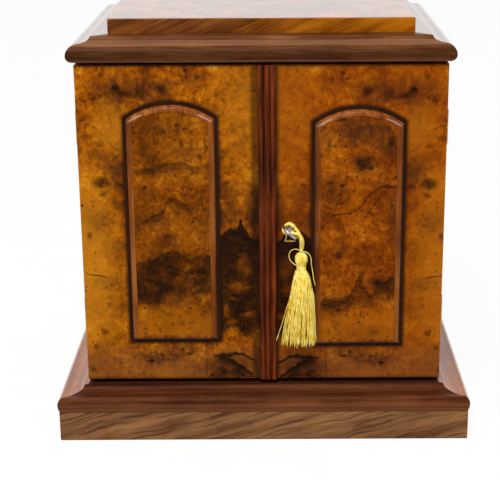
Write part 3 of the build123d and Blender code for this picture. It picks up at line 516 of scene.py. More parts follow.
# %% Landmarks of the two door leaves
RIGHT_LEAF_DROP = 2.6
BOARD_KNOTS = [
    (119.5, 298.2, 6.0, 7.0, 1.0), (113.5, 294.5, 8, 3.4, 0.8), (100.4, 296.5, 6.5, 7, 0.72),
    (82.5, 298.3, 7.5, 7.0, 0.85), (134.2, 221.6, 9.5, 6.4, 1.0), (133, 211.7, 5.0, 4.2, 0.8),
    (119.3, 219.5, 5, 5, 0.6), (137.1, 290.1, 4.4, 5.4, 0.66), (132.3, 293, 4.4, 4.4, 0.6),
    (150.5, 202.3, 2.4, 2.8, 0.9), (62.7, 312.9, 2.6, 2.3, 0.8), (66, 308.4, 4.4, 2.4, 0.6),
    (130.7, 310, 4.4, 3.6, 0.6), (143.3, 259.2, 5, 3.8, 0.55), (134, 252.6, 4, 3.2, 0.5),
    (146, 175.5, 3.6, 5.4, 0.66), (136.6, 90.8, 4, 3.4, 0.8), (144.6, 77.5, 3.8, 3.8, 0.75),
    (148, 56, 4.4, 5.4, 0.66), (10.4, 211, 3.2, 5.2, 0.85), (30.8, 220.6, 3.4, 2.8, 0.66),
    (46.9, 299.3, 5, 5, 0.42), (71.4, 73, 3.6, 3.0, 0.85), (65.1, 69.5, 4.6, 2.2, 0.8),
    (97.2, 63.2, 4.6, 3.0, 0.95), (41.6, 69.2, 4.0, 2.4, 0.95),
]
SMOKE = [
    (118, 297, 34, 20, 0.70), (122, 232, 16, 17, 0.95), (90, 297, 28, 17, 0.75),
    (30, 190, 26, 18, 0.62), (20, 160, 34, 40, 0.60), (136, 188, 16, 13, 0.40),
    (92, 66, 26, 10, 0.80), (70, 73, 20, 10, 0.66), (32, 60, 36, 17, 0.85), (44, 96, 26, 10, 0.60),
    (132, 134, 20, 10, 0.42), (9, 200, 12, 28, 0.95), (28, 212, 16, 14, 0.60),
    (60, 306, 18, 10, 0.4),
]
POOL_TOP = [(1, 176), (5, 174.5), (8.5, 172.6), (12.5, 174.5), (16, 180.0), (18.7, 184.0),
            (20.3, 189.4), (22.4, 184.2), (26, 181), (31.1, 180.6), (36.2, 176.5), (44, 172)]
POOL_FOOT = [(1, 88), (6.4, 88.1), (15.0, 84.1), (27.2, 92.3), (37.7, 90.3), (44, 90)]
POOL_ISLANDS = [(17.1, 148, 8.5, 15, 0.42), (22.0, 129.5, 12, 8, 0.46), (33.1, 108.9, 4, 7, 0.52),
                (14.8, 104.8, 9, 3.4, 0.46), (29.5, 98.9, 7, 4.0, 0.52), (25, 120, 9, 2.6, 0.3)]
FOOT_VEINS = [
    [(6.6, 62.6), (14.2, 65.7), (21.8, 69.3), (31.4, 67.8), (40.9, 69.9)],
    [(10, 52), (16, 55.5), (22, 60), (28, 64.2), (34, 67.3), (40.9, 69.9)],
]
CHAR_TOP = [(4, 49), (9, 51), (14, 54), (20, 57), (26, 58.5), (32, 57), (38, 57.5), (45, 53),
            (53, 47)]
SIDE_CRACK = [(134, 139), (141.8, 140.1), (147, 141.7), (150.9, 146.8)]
print("landmarks on each door:", len(BOARD_KNOTS) + len(POOL_ISLANDS) + len(FOOT_VEINS))


# %% The doors' veneer
GOLD = [(16, 285, 40, 80, 0.35, 0.1), (152, 150, 46, 140, 0.70, 0.1), (84, 55, 40, 14, 0.4, 0),
        (124, 266, 26, 34, 0.5, 0.1)]
JOINT_ACROSS = 51
STRIP_HALF = 5
CRACK_WIDTH = 1.1
VEIN_WIDTH = 2.6
VENEER_START, VENEER_END = 0.5, 0.9
VENEER_RELIEF = 0.00006


def board_tones(colour, grown, up, right):
    """Slow changes over a board: golden patches, a redder right leaf, a dusky foot, and smoke."""
    colour = mix(spots(grown, GOLD), colour, rgb(194, 122, 22))
    colour = mix(right * 0.42, colour, rgb(138, 54, 0))
    colour = mix(up.rise(86, 62) * 0.5, colour, rgb(120, 68, 34))
    haze = spots(grown, SMOKE) * (0.55 + cloud(grown, 7, 4, 0.6).rise(0.34, 0.62) * 0.45)
    return mix(haze * 0.85, colour, SMOKE_BROWN)


def board_marks(leaf, grown, across):
    """How black each place is: the pool, the scorched foot, its veins and curls, and the knots."""
    out, up = split(grown, "X"), split(grown, "Z")
    depth = edge_height(out, POOL_TOP) - up
    above_foot = (up - edge_height(out, POOL_FOOT)).rise(-4, 5)
    inside = depth.rise(-1.0, 1.6) * above_foot * out.rise(48, 40)
    swirls = cloud(bent(stretch(leaf, (1, 1, 1.8)), 9, 12, 3), 9, 3, 0.5).rise(0.36, 0.62)
    rim = depth.rise(12, 3) * out.rise(32, 22)
    pool = inside * (0.89 + swirls * 0.11 - spots(grown, POOL_ISLANDS)).larger(rim)
    below_char = (edge_height(out, CHAR_TOP) - up).rise(-1.5, 1.5)
    char = below_char * (0.45 + swirls * 0.5) * out.rise(53, 49)
    joint = abs(across - JOINT_ACROSS).rise(0.7, 0.2) * up.rise(84, 80) * 0.6
    curl = abs(cloud(bent(leaf, 9, 12, 3), 10, 2, 0.5) - 0.5).rise(0.035, 0.0)
    veins = vein(out, up, FOOT_VEINS[0], VEIN_WIDTH)
    veins = veins.larger(smoky_band(out, up, FOOT_VEINS[1], 12, 1.0)).larger(char)
    crack = vein(out, up, SIDE_CRACK, CRACK_WIDTH)
    marks = pool.larger(spots(grown, BOARD_KNOTS) * (0.75 + swirls * 0.25)).larger(veins * 0.95)
    return marks.larger(crack * 0.85).larger(joint).larger(curl * spot(grown, 92, 66, 34, 13) * 0.8)


def board_edges(place, across, right):
    """Painted shade at the top under the crown, painted shade with grime beside the strip and round
    the mouldings, and darkness at the foot.
    """
    height = split(place, "Z")
    folded = place.add("CombineXYZ", {}, {"X": across, "Z": height + right * PANEL_DROP})
    gap = outside_panel(folded, (right_middle - left_middle) / 2, span("left_panel_moulding"),
                        span("left_raised_panel"))
    # Painted shade with grime beside the strip, painted shade under the crown at the top, darker at
    # the foot.
    beside_strip = across.rise(14, 9).larger((across - STRIP_HALF).rise(3.6, 0.6) * (1 - right))
    foot = (height - board_low[2]).rise(2.6, 0.3) * 0.7
    edges = (board_high[2] - height).rise(2.6, 0.2).larger(beside_strip).larger(foot)
    # Painted shade with grime round the panel mouldings.
    return edges, gap.rise(3.8, -0.8) * 0.92


def door_veneer():
    """Both door boards: one burr, opened like a book about the meeting line, on a plain core."""
    material, shader, place = start_material("burr_veneer", 0.36, POLISH)
    right = split(place, "X").greater(MEETING_LINE)
    across = abs(split(place, "X") - MEETING_LINE)
    height = split(place, "Z") + right * RIGHT_LEAF_DROP
    leaf = place.add("CombineXYZ", {}, {"X": across, "Z": height})
    grown = bent(bent(leaf, 14, 6, 2), 4, 3.4, 3)
    colour, eyes, tone = burr_figure(leaf, AMBER)
    colour = board_tones(colour, grown, split(grown, "Z"), right)
    marks = board_marks(leaf, grown, across)
    edges, shade_and_grime = board_edges(place, across, right)
    colour = darkened(colour, eyes * 0.55, BUD)
    # The edge darkness is painted shade under the crown, and painted shade with grime beside the
    # strip.
    colour = darkened(colour, (marks.larger(edges * 0.75) * 0.95).clamp())
    # Painted shade with grime round the mouldings.
    colour = darkened(colour, shade_and_grime, rgb(34, 15, 5))
    core, _, _ = grain_pattern(place, CORE, "Z", 3.0, 0.4, 6.0, 12)
    colour = mix((split(place, "Y") - FACE_Y).rise(VENEER_START, VENEER_END), colour, core)
    roughness = 0.26 + tone * 0.12 + marks * 0.08
    finish_shader(shader, colour, roughness, tone - eyes * 0.4, VENEER_RELIEF)
    return material


burr_veneer = door_veneer()
print("burr veneer nodes:", len(burr_veneer.node_tree.nodes))

# %% Landmarks of the left raised panel
LEFT_PANEL = {
    "knots": [(5.7, 270, 2.6, 2.4, 0.85), (-4.5, 265, 3.6, 3.4, 0.5), (11.9, 266.7, 1.6, 1.6, 0.7),
              (12.8, 278, 1.3, 1.2, 0.8), (6.8, 262.9, 2, 2, 0.55), (9.1, 253.2, 2.6, 5, 0.6),
              (23.4, 244.1, 3.6, 3.8, 0.72), (28.6, 253, 1.6, 8, 0.8),
              (-11.4, 244.9, 1.4, 1.6, 0.75), (-13.4, 240.3, 1.4, 1.4, 0.7),
              (-18, 239.6, 1.8, 1.4, 0.55), (-8.7, 231.2, 1.7, 1.6, 0.7),
              (-3.6, 230.9, 1.9, 1.6, 0.75), (16, 228.7, 3.2, 1.3, 0.9),
              (-21.5, 216.8, 3.0, 4.4, 0.75), (17.1, 220.5, 1.5, 1.4, 0.6),
              (18.9, 212.6, 1.6, 1.5, 0.7), (11.2, 211.3, 1.4, 1.3, 0.55),
              (5.7, 196.1, 4.2, 4, 0.5), (-3.2, 176.6, 7, 3.6, 0.42), (-4.1, 169.9, 1.7, 1.6, 0.8),
              (5.7, 99.5, 3.2, 3, 0.4), (22.3, 107.1, 1.5, 1.5, 0.7), (15.6, 100.1, 2.6, 2.4, 0.4),
              (-13.8, 208.1, 2.4, 2, 0.5), (24, 143, 11, 18, 1.0), (-16.5, 124, 13, 10, 0.85),
              (-24, 150, 8, 5, 0.7)],
    "smoke": [(0, 268, 26, 12, 0.42), (14, 248, 16, 16, 0.50), (-8, 232, 24, 8, 0.6),
              (-12, 190, 20, 12, 0.5), (14, 200, 14, 8, 0.5), (-3, 174, 14, 8, 0.6),
              (0, 120, 34, 12, 0.6), (26, 180, 8, 30, 0.4)],
    "light": [(-21.4, 218, 1.4, 2.4, 1.0), (8, 150, 11, 6, 0.45), (0, 138, 14, 6, 0.3),
              (12, 150, 4, 2, 0.5)],
    "bands": [([(-29.6, 231.3), (-24.4, 233.9), (-11.7, 235.1), (-4.0, 238.3), (3.6, 238.9),
                (12.5, 237.6), (18.7, 235.6), (27.7, 237.5), (30.2, 238.2)], 9.0, 0.74),
              ([(-28.7, 186.2), (-22.1, 190.8), (-15.6, 194.2), (-9.0, 198.1), (-5.0, 204.8),
                (0.3, 209.4), (5.3, 207.4), (9.7, 205.4), (14.1, 201.3)], 10.0, 0.74)],
    "top": [(-32, 152), (-28.5, 153.7), (-24.6, 155.0), (-15.4, 157.7), (-7.5, 161.8), (0.3, 163.8),
            (6.7, 161.0), (14.4, 157.6), (20.9, 159.6), (29.3, 160.9), (33, 161)],
    "foot": [(-32, 115), (-28.5, 117.8), (-15.5, 113.6), (-8.6, 125.1), (11.0, 125.7),
             (20.1, 124.9), (28.7, 126.0), (33, 126)],
    "storm": (0.62, 0.32),
}
print("landmarks on the left panel:", sum(len(value) for value in LEFT_PANEL.values()))

# %% Landmarks of the right raised panel
RIGHT_PANEL = {
    "knots": [(-14.5, 273.4, 10, 2.6, 0.88), (4.2, 236.9, 8, 7.5, 0.80), (1, 238.6, 4, 4, 0.9),
              (9, 233, 4, 3.4, 0.85), (15, 237, 4, 3, 0.6), (-13.3, 218.6, 3.0, 2.6, 0.95),
              (-22.9, 221.3, 4, 3, 0.7), (-22.2, 213.5, 4.4, 5, 0.62),
              (-10.2, 225.2, 1.3, 1.3, 0.8), (-6.1, 223.2, 1.2, 1.4, 0.8),
              (-1.3, 225.8, 1.5, 1.9, 0.85), (-14.8, 210.9, 2.2, 1.5, 0.75),
              (-13.8, 204, 2.6, 2, 0.75), (-22.8, 204.1, 1.3, 1.5, 0.7),
              (-22.8, 200.1, 1.6, 1.5, 0.75), (-27.3, 206, 1.3, 1.3, 0.7),
              (-28.2, 190.5, 1.8, 1.6, 0.85), (-16.2, 188.3, 1.9, 1.9, 0.75),
              (-16.7, 169.2, 1.2, 1.3, 0.75), (-12.9, 169.8, 1.3, 1.3, 0.75),
              (27.8, 201.4, 2, 2.4, 0.9), (20.4, 187.8, 3, 2, 0.45), (-23.8, 164.5, 1.2, 1.3, 0.7),
              (-16, 159, 5.4, 4.6, 0.72), (27, 256, 6, 9, 0.62), (21, 267, 8, 4, 0.5),
              (-24, 252, 3.4, 6, 0.55), (2.9, 107, 2.0, 5, 0.55), (-18.7, 99, 6, 5, 0.45),
              (-20, 117, 11, 4.4, 0.85), (-8.4, 121, 4.2, 4, 0.85), (2.4, 140, 3.4, 7, 0.75),
              (17, 134.5, 7.5, 5, 0.9), (28, 138, 5, 4, 0.8), (14, 91, 8, 4, 0.35)],
    "smoke": [(2, 264, 34, 20, 1.0), (22, 256, 12, 20, 1.0), (4, 238, 17, 13, 0.9),
              (-20, 215, 14, 22, 0.6), (0, 92, 34, 12, 0.35), (28, 190, 8, 40, 0.6),
              (-16, 163, 14, 10, 0.5), (-18, 117, 18, 12, 0.8), (20, 133, 18, 10, 0.85),
              (-26, 262, 8, 18, 0.6), (14, 222, 20, 6, 0.4)],
    "light": [(-2, 112, 7, 4, 0.4)],
    "bands": [([(-20.8, 194.7), (-10.5, 195.8), (-2.9, 198.0), (2.8, 202.6), (7.2, 209.2),
                (13.5, 214.5), (18.5, 218.2), (24.9, 218.7), (30.0, 218.4)], 2.6, 0.9),
              ([(8.7, 195.9), (12.4, 202.6), (17.4, 209.2), (21.2, 213.1)], 2.4, 0.8),
              ([(-30.7, 117.1), (-17.5, 115.6), (-8.4, 120.4), (-3.3, 126.6), (1.1, 137.7),
                (5.1, 132.1), (11.1, 124.5), (14.9, 132.1), (24.0, 136.2), (32.3, 140.3)],
               5.4, 1.0)],
    "top": [(-33, 118), (-31.3, 118.4), (-24.1, 121.9), (-13.6, 119.0), (-5.9, 126.0), (2.4, 134),
            (10.5, 125.2), (17.4, 132), (23.9, 134), (33, 139)],
    "foot": [(-33, 104), (-18, 106), (-4, 112), (8, 114), (20, 119), (33, 118)],
    "storm": (0.30, 0.40),
}
print("landmarks on the right panel:", sum(len(value) for value in RIGHT_PANEL.values()))


# %% The panels' veneer
def panel_veneer(name, middle, drawn, seed_shift, tint):
    """One raised panel: a redder burr with its own landmarks about the panel's middle.

    drawn lists them; seed_shift takes the burr from another part of the log, in mm.
    """
    material, shader, place = start_material(name, 0.34, POLISH)
    leaf = vector_maths("ADD", place, (-middle, 0, 0))
    grown = bent(bent(leaf, 12, 3.4, 2), 3.2, 2.4, 3)
    across, up = split(grown, "X"), split(grown, "Z")
    colour, eyes, tone = burr_figure(vector_maths("ADD", leaf, (seed_shift, 0, 0)), FIELD)
    colour = mix(up.rise(120, 100) * 0.5, colour, rgb(182, 106, 10))
    colour = darkened(mix(0.30, colour, tint), eyes * 0.85, BUD)
    haze = spots(grown, drawn["smoke"]) * (0.5 + cloud(grown, 6, 4, 0.6).rise(0.34, 0.62) * 0.5)
    colour = mix(haze * 0.85, colour, SMOKE_BROWN)

    broken = cloud(bent(stretch(leaf, (1, 1, 1.6)), 9, 11, 3), 8, 4, 0.55).rise(0.36, 0.62)
    depth = edge_height(across, drawn["top"]) - up
    inside = depth.rise(-1.2, 2.0) * (up - edge_height(across, drawn["foot"])).rise(-5.0, 4.0)
    plain, torn = drawn["storm"]
    storm = inside * (plain + broken * torn).larger(depth.rise(7, 1) * 0.8)
    storm = (storm - spots(grown, drawn["light"])).clamp()
    marks = storm.larger(spots(grown, drawn["knots"]) * (0.85 + broken * 0.15))
    for points, thickness, strength in drawn["bands"]:
        band = smoky_band(across, up, points, thickness, strength)
        marks = marks.larger(band * (0.64 + broken * 0.36))
    colour = darkened(colour, (marks * 0.92).clamp())
    roughness = 0.24 + tone * 0.12 + marks * 0.08
    finish_shader(shader, colour, roughness, tone - eyes * 0.4, VENEER_RELIEF)
    return material


left_veneer = panel_veneer("left_panel_veneer", left_middle, LEFT_PANEL, 310, rgb(138, 74, 2))
right_veneer = panel_veneer("right_panel_veneer", right_middle, RIGHT_PANEL, 540, rgb(152, 66, 0))
print("panel veneers:", left_veneer.name, right_veneer.name)

# %% [markdown]
# ## Woods that change over their piece
# The panel mouldings are black in the quirk, which is painted shade with old polish gathered there,
# and catch a glint on their upper corners. Light falls differently on each member of the crown and
# the base, and their hollows lie in shade, so a list gives painted light and shade by height. The
# side returns get painted shade below the nose. The side returns and the top of the cap, seen at a
# low angle, are mirrors of polish: that is a clear coat laid on by a mask.

# %% The panel moulding
GLINT = [(22.5, 278.2), (26, 276.8), (30, 274.7), (33.7, 272.5)]
GLINT_WIDTH = 0.75
QUIRK_TOP, QUIRK_DEPTH = 1.9, 0.9


def moulding_wood():
    """Brown moulding: black in the quirk near the door's face, which is painted shade with old
    polish, and a glint on its upper corners.
    """
    material, shader, place = start_material("panel_moulding_wood", 0.20, 0.05, 0.0, 0.12, 3.2)
    proud = FACE_Y - split(place, "Y")
    colour, relief, lines = grain_pattern(place, browns((92, 44, 14), (114, 58, 20), (134, 72, 27),
                                          (150, 86, 36), (168, 102, 48)), "Z", 1.8, 0.3, 3.0)
    # Painted shade in the quirk, with old polish gathered there.
    colour = darkened(colour, proud.rise(QUIRK_TOP, QUIRK_DEPTH) * 0.94, rgb(26, 12, 6))
    across, up = split(place, "X"), split(place, "Z")
    glint = None
    for middle, drop in ((left_middle, 0.0), (right_middle, PANEL_DROP)):
        for side in (-1, 1):
            line = vein((across - middle) * side, up + drop, GLINT, GLINT_WIDTH)
            glint = line if glint is None else glint.larger(line)
    finish_shader(shader, colour, 0.22 + lines * 0.12, relief, 0.00002, glint)
    return material


woods["panel_moulding"] = moulding_wood()
print("panel moulding nodes:", len(woods["panel_moulding"].node_tree.nodes))

# %% The crown and the base
COAT_INDEX = 1.8


def shaded_wood(name, front, stops, shades, dark, light):
    """Wood of a front moulding, with painted light and shade by height as shades gives it, from -1
    to 1.
    """
    material, shader, place = start_material(name, 0.30, 0.02)
    colour, relief, lines = grain_pattern(place, stops, "X", 2.6, 0.35, 3.0)
    low, _ = span(front)
    level = edge_height(split(place, "Z") - low[2], shades)
    # Painted shade where the level is below 0, and painted highlight where it is above.
    colour = darkened(colour, (level * -1).clamp(), dark)
    colour = mix(level.clamp(), colour, light)
    finish_shader(shader, colour, 0.24 + lines * 0.10, relief, 0.00003)
    return material


def return_wood(name, front, stops, gloss):
    """Side mouldings: painted shade below the nose as on the front, mirror-bright on the slopes
    above.
    """
    material, shader, place = start_material(name, 0.22, 0.08, 0.0, 0.12, COAT_INDEX)
    colour, relief, lines = grain_pattern(place, stops, "Y", 2.6, 0.4, 3.0)
    low, high = span(front)
    share = (split(place, "Z") - low[2]) / (high[2] - low[2])
    # Painted shade on the lower half, below the nose.
    colour = darkened(colour, share.rise(0.5, 0.1) * 0.4, rgb(40, 18, 6))
    polished = share.rise(0.42, 0.62) * gloss
    finish_shader(shader, colour, 0.20 + lines * 0.10, relief, 0.00003, polished)
    return material


# Painted light and shade by height above the foot of the front moulding, from -1 to 1.
CROWN_SHADES = [(0, 0.26), (1.6, 0.18), (3.4, -0.12), (5.4, -0.56), (8.2, -0.62), (10.6, -0.42),
                (12.3, -0.06), (13.4, 0.08), (14.6, 0.18), (15.9, 0.14), (16.8, -0.12),
                (19.2, -0.12)]
BASE_SHADES = [(0, 0.10), (2.2, 0.30), (4.0, 0.12), (6.0, 0.20), (7.8, 0.14), (9.6, -0.06),
               (12.6, -0.16), (14.8, 0.0), (16.0, -0.12), (16.9, -0.36), (17.5, -0.6)]
woods["crown"] = shaded_wood(
    "crown_wood", "crown_moulding_front",
    browns((58, 27, 10), (76, 40, 18), (94, 53, 27), (110, 66, 36), (132, 86, 54)),
    CROWN_SHADES, rgb(26, 8, 0), rgb(204, 150, 112))
woods["base"] = shaded_wood(
    "base_wood", "base_moulding_front",
    browns((60, 27, 11), (76, 37, 18), (90, 46, 24), (102, 55, 29), (120, 70, 40)),
    BASE_SHADES, rgb(20, 8, 3), rgb(170, 112, 74))
woods["crown_side"] = return_wood("crown_return_wood", "crown_moulding_front", REDDISH, 1.0)
woods["base_side"] = return_wood("base_return_wood", "base_moulding_front", ROSY, 0.6)
print("members shaded by height:", len(CROWN_SHADES), "and", len(BASE_SHADES))

# %% The cap
def cap_wood():
    """Cross-banded cap: honey towards the right, with burr veneer under deep polish on its top."""
    material, shader, place = start_material("cap_wood", 0.26, 0.06, 0.0, 0.10, COAT_INDEX)
    leaning = turned(place, (0, 24, 0))
    dark = browns((54, 24, 5), (78, 38, 10), (102, 53, 16), (124, 69, 22), (150, 90, 36))
    honey = browns((112, 56, 0), (140, 74, 0), (164, 92, 2), (178, 106, 8), (194, 126, 26))
    colour, relief, lines = grain_pattern(leaning, dark, "X", 3.4, 0.3, 3.0)
    other, _, _ = grain_pattern(leaning, honey, "X", 3.4, 0.3, 3.0)
    share = split(bent(place, 30, 30), "X").rise(-60, 95)
    top = (split(place, "Z") - (cap_high[2] - 0.4)).rise(0.0, 0.2)
    burr, _, _ = burr_figure(place, AMBER)
    veneer = mix(cloud(place, 60, 3).rise(0.45, 0.7) * 0.45, burr, SMOKE_BROWN)
    colour = mix(top, mix(share, colour, other), veneer)
    finish_shader(shader, colour, 0.20 + lines * 0.12, relief, 0.00004, top * 0.95)
    return material


woods["cap"] = cap_wood()
print("woods in all:", len(woods))

# %% [markdown]
# ## Metal, black wood, velvet and silk
# Old brass is warm and a little cloudy, with brown left in its hollows. Steel on a key in daily use
# is bright where fingers rub it. The knobs are stained black and polished. Cut velvet is dark when
# seen straight on and pale at its edges, which the shader's sheen gives, and silk yarn has a soft
# shine.

# %% Metal and black wood
def metal(name, bright, dull, roughness, wear_size):
    """Metal with cloudy tarnish and fine rub marks."""
    material, shader, place = start_material(name, roughness)
    shader.inputs["Metallic"].default_value = 1.0
    tarnish = cloud(bent(place, wear_size, wear_size * 0.6), wear_size, 5, 0.62)
    rubs = cloud(stretch(turned(place, (0, 35, 20)), (1, 1, 0.12)), 0.6, 2, 0.5)
    colour = mix(tarnish.rise(0.42, 0.66), bright, dull)
    uneven = tarnish * 0.24 + rubs * 0.10 + (roughness - 0.14)
    finish_shader(shader, colour, uneven, rubs, 0.000006)
    return material


def black_wood():
    """Black-stained pear wood: faint brown streaks under the polish."""
    material, shader, place = start_material("ebonised_wood", 0.22, 0.5, 0.3, 0.08)
    streaks = cloud(stretch(bent(place, 9, 2), (1, 0.1, 1)), 1.4, 4, 0.6)
    stops = (0.38, rgb(22, 18, 16)), (0.56, rgb(38, 30, 26)), (0.72, rgb(62, 46, 36))
    colour = ramp(streaks, *stops)
    finish_shader(shader, colour, 0.16 + streaks * 0.16, streaks, 0.00003)
    return material


# %% Velvet and silk
def set_sheen(shader, weight, roughness, tint):
    """The pale edge that short fibres give a cloth or a yarn."""
    shader.inputs["Sheen Weight"].default_value = weight
    shader.inputs["Sheen Roughness"].default_value = roughness
    shader.inputs["Sheen Tint"].default_value = (*tint, 1)


def cut_velvet():
    """Wine-red velvet: brushed patches of pile over a fine nap."""
    material, shader, place = start_material("velvet", 0.85, 0.15)
    set_sheen(shader, 0.65, 0.45, rgb(196, 96, 104))
    brushed = cloud(bent(place, 18, 12), 16, 3, 0.55)
    nap = cloud(place, 0.45, 2, 0.6)
    colour = mix(brushed.rise(0.36, 0.66), rgb(74, 12, 24), rgb(112, 22, 38))
    colour = mix(nap.rise(0.35, 0.7) * 0.5, colour, rgb(52, 8, 18))
    finish_shader(shader, colour, 0.78 + nap * 0.15, nap + brushed * 0.5, 0.0002)
    return material


def silk_yarn(name, shadow, body, shine):
    """Lustrous yarn: painted shade and shine in fine streaks along the strands, mixed with uneven
    dye.
    """
    material, shader, place = start_material(name, 0.42, 0.16)
    set_sheen(shader, 0.10, 0.35, rgb(250, 236, 176))
    strands = cloud(stretch(place, (1, 1, 0.08)), 0.7, 3, 0.65)
    dye = cloud(place, 5, 3)
    tone = strands * 0.7 + dye * 0.3
    # Ramp from painted shade through the body colour to painted shine.
    colour = ramp(tone, (0.36, shadow), (0.47, body), (0.60, shine))
    finish_shader(shader, colour, 0.34 + strands * 0.2, strands, 0.0001)
    return material


finishes = {
    "brass": metal("aged_brass", rgb(206, 168, 98), rgb(138, 102, 52), 0.32, 5),
    "steel": metal("worn_steel", rgb(198, 194, 186), rgb(140, 134, 126), 0.32, 9),
    "black": black_wood(),
    "velvet": cut_velvet(),
    "silk": silk_yarn("tassel_yarn", rgb(176, 122, 4), rgb(250, 214, 66), rgb(255, 246, 160)),
}
print("finishes:", sorted(finishes))

# %% [markdown]
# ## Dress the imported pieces
# A piece whose shape is right keeps its mesh and only changes its finish. The list goes from the
# piece's name to its wood or metal; repeated pieces share one line.

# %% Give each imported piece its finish
dressing = {
    "left_door_board": burr_veneer, "right_door_board": burr_veneer,
    "left_raised_panel": left_veneer, "right_raised_panel": right_veneer,
    "closing_strip": woods["strip"], "crown_moulding_front": woods["crown"],
    "base_moulding_front": woods["base"], "plinth_front": woods["plinth"],
    "cap_board": woods["cap"], "plinth_back": woods["inner"], "back_panel": woods["back"],
    "drawer_bearers": woods["inner"], "top_board": woods["inner"], "bottom_board": woods["base"],
    "key": finishes["steel"], "lock_case": finishes["steel"],
}
for side in ("left", "right"):
    dressing[side + "_panel_moulding"] = woods["panel_moulding"]
    dressing["crown_moulding_" + side] = woods["crown_side"]
    dressing["base_moulding_" + side] = woods["base_side"]
    dressing["plinth_" + side] = woods["plinth_side"]
    dressing[side + "_side_panel"] = woods["side"]
    dressing[side + "_guide_board"] = woods["drawer_box"]
    dressing[side + "_door_hinge_leaves"] = finishes["brass"]
    dressing[side + "_door_screws"] = finishes["brass"]
for name in ("case_hinge_leaves", "hinge_pins", "case_hinge_screws", "keyhole_plate",
             "strike_plate", "bolt_case", "bolt_keeper", "door_bolt", "lock_bolt"):
    dressing[name] = finishes["brass"]
drawer_numbers = [int(name.split("_")[1]) for name in nodes if name.endswith("_lining")]
for number in drawer_numbers:
    dressing[f"drawer_{number}_front"] = woods["drawer"]
    dressing[f"drawer_{number}_box"] = woods["drawer_box"]
    dressing[f"drawer_{number}_knobs"] = finishes["black"]
for name, material in dressing.items():
    nodes[name].material_slots[0].material = material
print("pieces dressed:", len(dressing), "drawers:", sorted(drawer_numbers))

# %% [markdown]
# ## The cord through the key
# A loop of twisted silk cord goes through the key's bow and carries the tassel. A cord made of
# straight tubes looks like wire, so its line is a smooth spline through a given route, and
# three plies are wound about that line. The turns are found for the whole line at once: along it
# runs a steady angle, and each ply stands off the line in that direction. The route leaves room on
# both sides of the bow, because the tassel moves over by twice the bow's half width when the key
# turns.

# %% The route of the cord
KEY_X, KEY_Z = 22.75, 182.4
BOW_TILT = np.radians(40)
TASSEL_X, TASSEL_TOP = KEY_X + 8.95, KEY_Z - 16.9
CORD_DIAMETER = 2.8
FRONT_OUT, REAR_OUT = 16.45, 13.45


def by_the_key(along, out, across):
    """A point by the tilted bow: along it, out from the door face, and across it."""
    x = KEY_X + along * np.cos(BOW_TILT) + across * np.sin(BOW_TILT)
    z = KEY_Z - along * np.sin(BOW_TILT) + across * np.cos(BOW_TILT)
    return np.array([x, FACE_Y - out, z]) * MM


def by_the_tassel(across, out, up):
    """A point above the tassel's head: across, out from the door face, and up."""
    return np.array([TASSEL_X + across, FACE_Y - out, TASSEL_TOP + up]) * MM


cord_route = [
    by_the_tassel(0, FRONT_OUT, 0), by_the_tassel(-0.3, FRONT_OUT + 0.55, 4.25),
    by_the_tassel(-0.2, FRONT_OUT + 1.4, 8.5), by_the_tassel(-0.6, FRONT_OUT + 1.9, 12.45),
    by_the_key(6.1, 18.05, 3.8), by_the_key(2.6, 16.4, 1.5), by_the_key(-0.1, 14.15, -2.1),
    by_the_key(-2.75, 11.3, -4.2), by_the_key(-4.6, 8.1, -3.4), by_the_key(-4.9, 6.3, -0.55),
    by_the_key(-4.6, 6.85, 2.45), by_the_key(-3.25, 9.3, 4.4), by_the_key(-0.7, 11.6, 4.95),
    by_the_key(2.1, 12.8, 4.35), by_the_key(5.05, 12.95, 3.75),
    by_the_tassel(-0.6, REAR_OUT - 0.6, 12.95), by_the_tassel(1.05, REAR_OUT - 0.65, 9.5),
    by_the_tassel(1.25, REAR_OUT - 0.45, 5.65), by_the_tassel(0.6, REAR_OUT - 0.15, 2.6),
    by_the_tassel(0, REAR_OUT, 0),
]
print("points of the cord's route:", len(cord_route))


# %% A smooth line
def smooth_line(name, points, order=3, resolution=10):
    """Points along a smooth spline whose control points are the ones given."""
    data = bpy.data.curves.new(name, "CURVE")
    data.dimensions = "3D"
    spline = data.splines.new("NURBS")
    spline.points.add(len(points) - 1)
    spline.points.foreach_set("co", np.c_[np.array(points), np.ones(len(points))].ravel())
    spline.order_u = order
    spline.use_endpoint_u = True
    spline.resolution_u = resolution
    guide = bpy.data.objects.new(name, data)
    bpy.context.scene.collection.objects.link(guide)
    mesh = bpy.data.meshes.new_from_object(guide)
    line = np.zeros(len(mesh.vertices) * 3)
    mesh.vertices.foreach_get("co", line)
    bpy.data.objects.remove(guide)
    bpy.data.meshes.remove(mesh)
    return line.reshape(-1, 3)


# %% What is carried along a line
def lengths_along(lines):
    """How far each point lies along its own line."""
    steps = np.linalg.norm(np.diff(lines, axis=-2), axis=-1)
    return np.concatenate([np.zeros_like(steps[..., :1]), np.cumsum(steps, -1)], -1)


def unit(vectors):
    """Each vector over its own length."""
    return vectors / np.linalg.norm(vectors, axis=-1, keepdims=True)


def sides_of(lines, steady):
    """Two directions square to each line: one square to a steady direction too, and its partner."""
    ahead = unit(np.gradient(lines, axis=-2))
    first = unit(np.cross(ahead, steady))
    return first, np.cross(ahead, first)


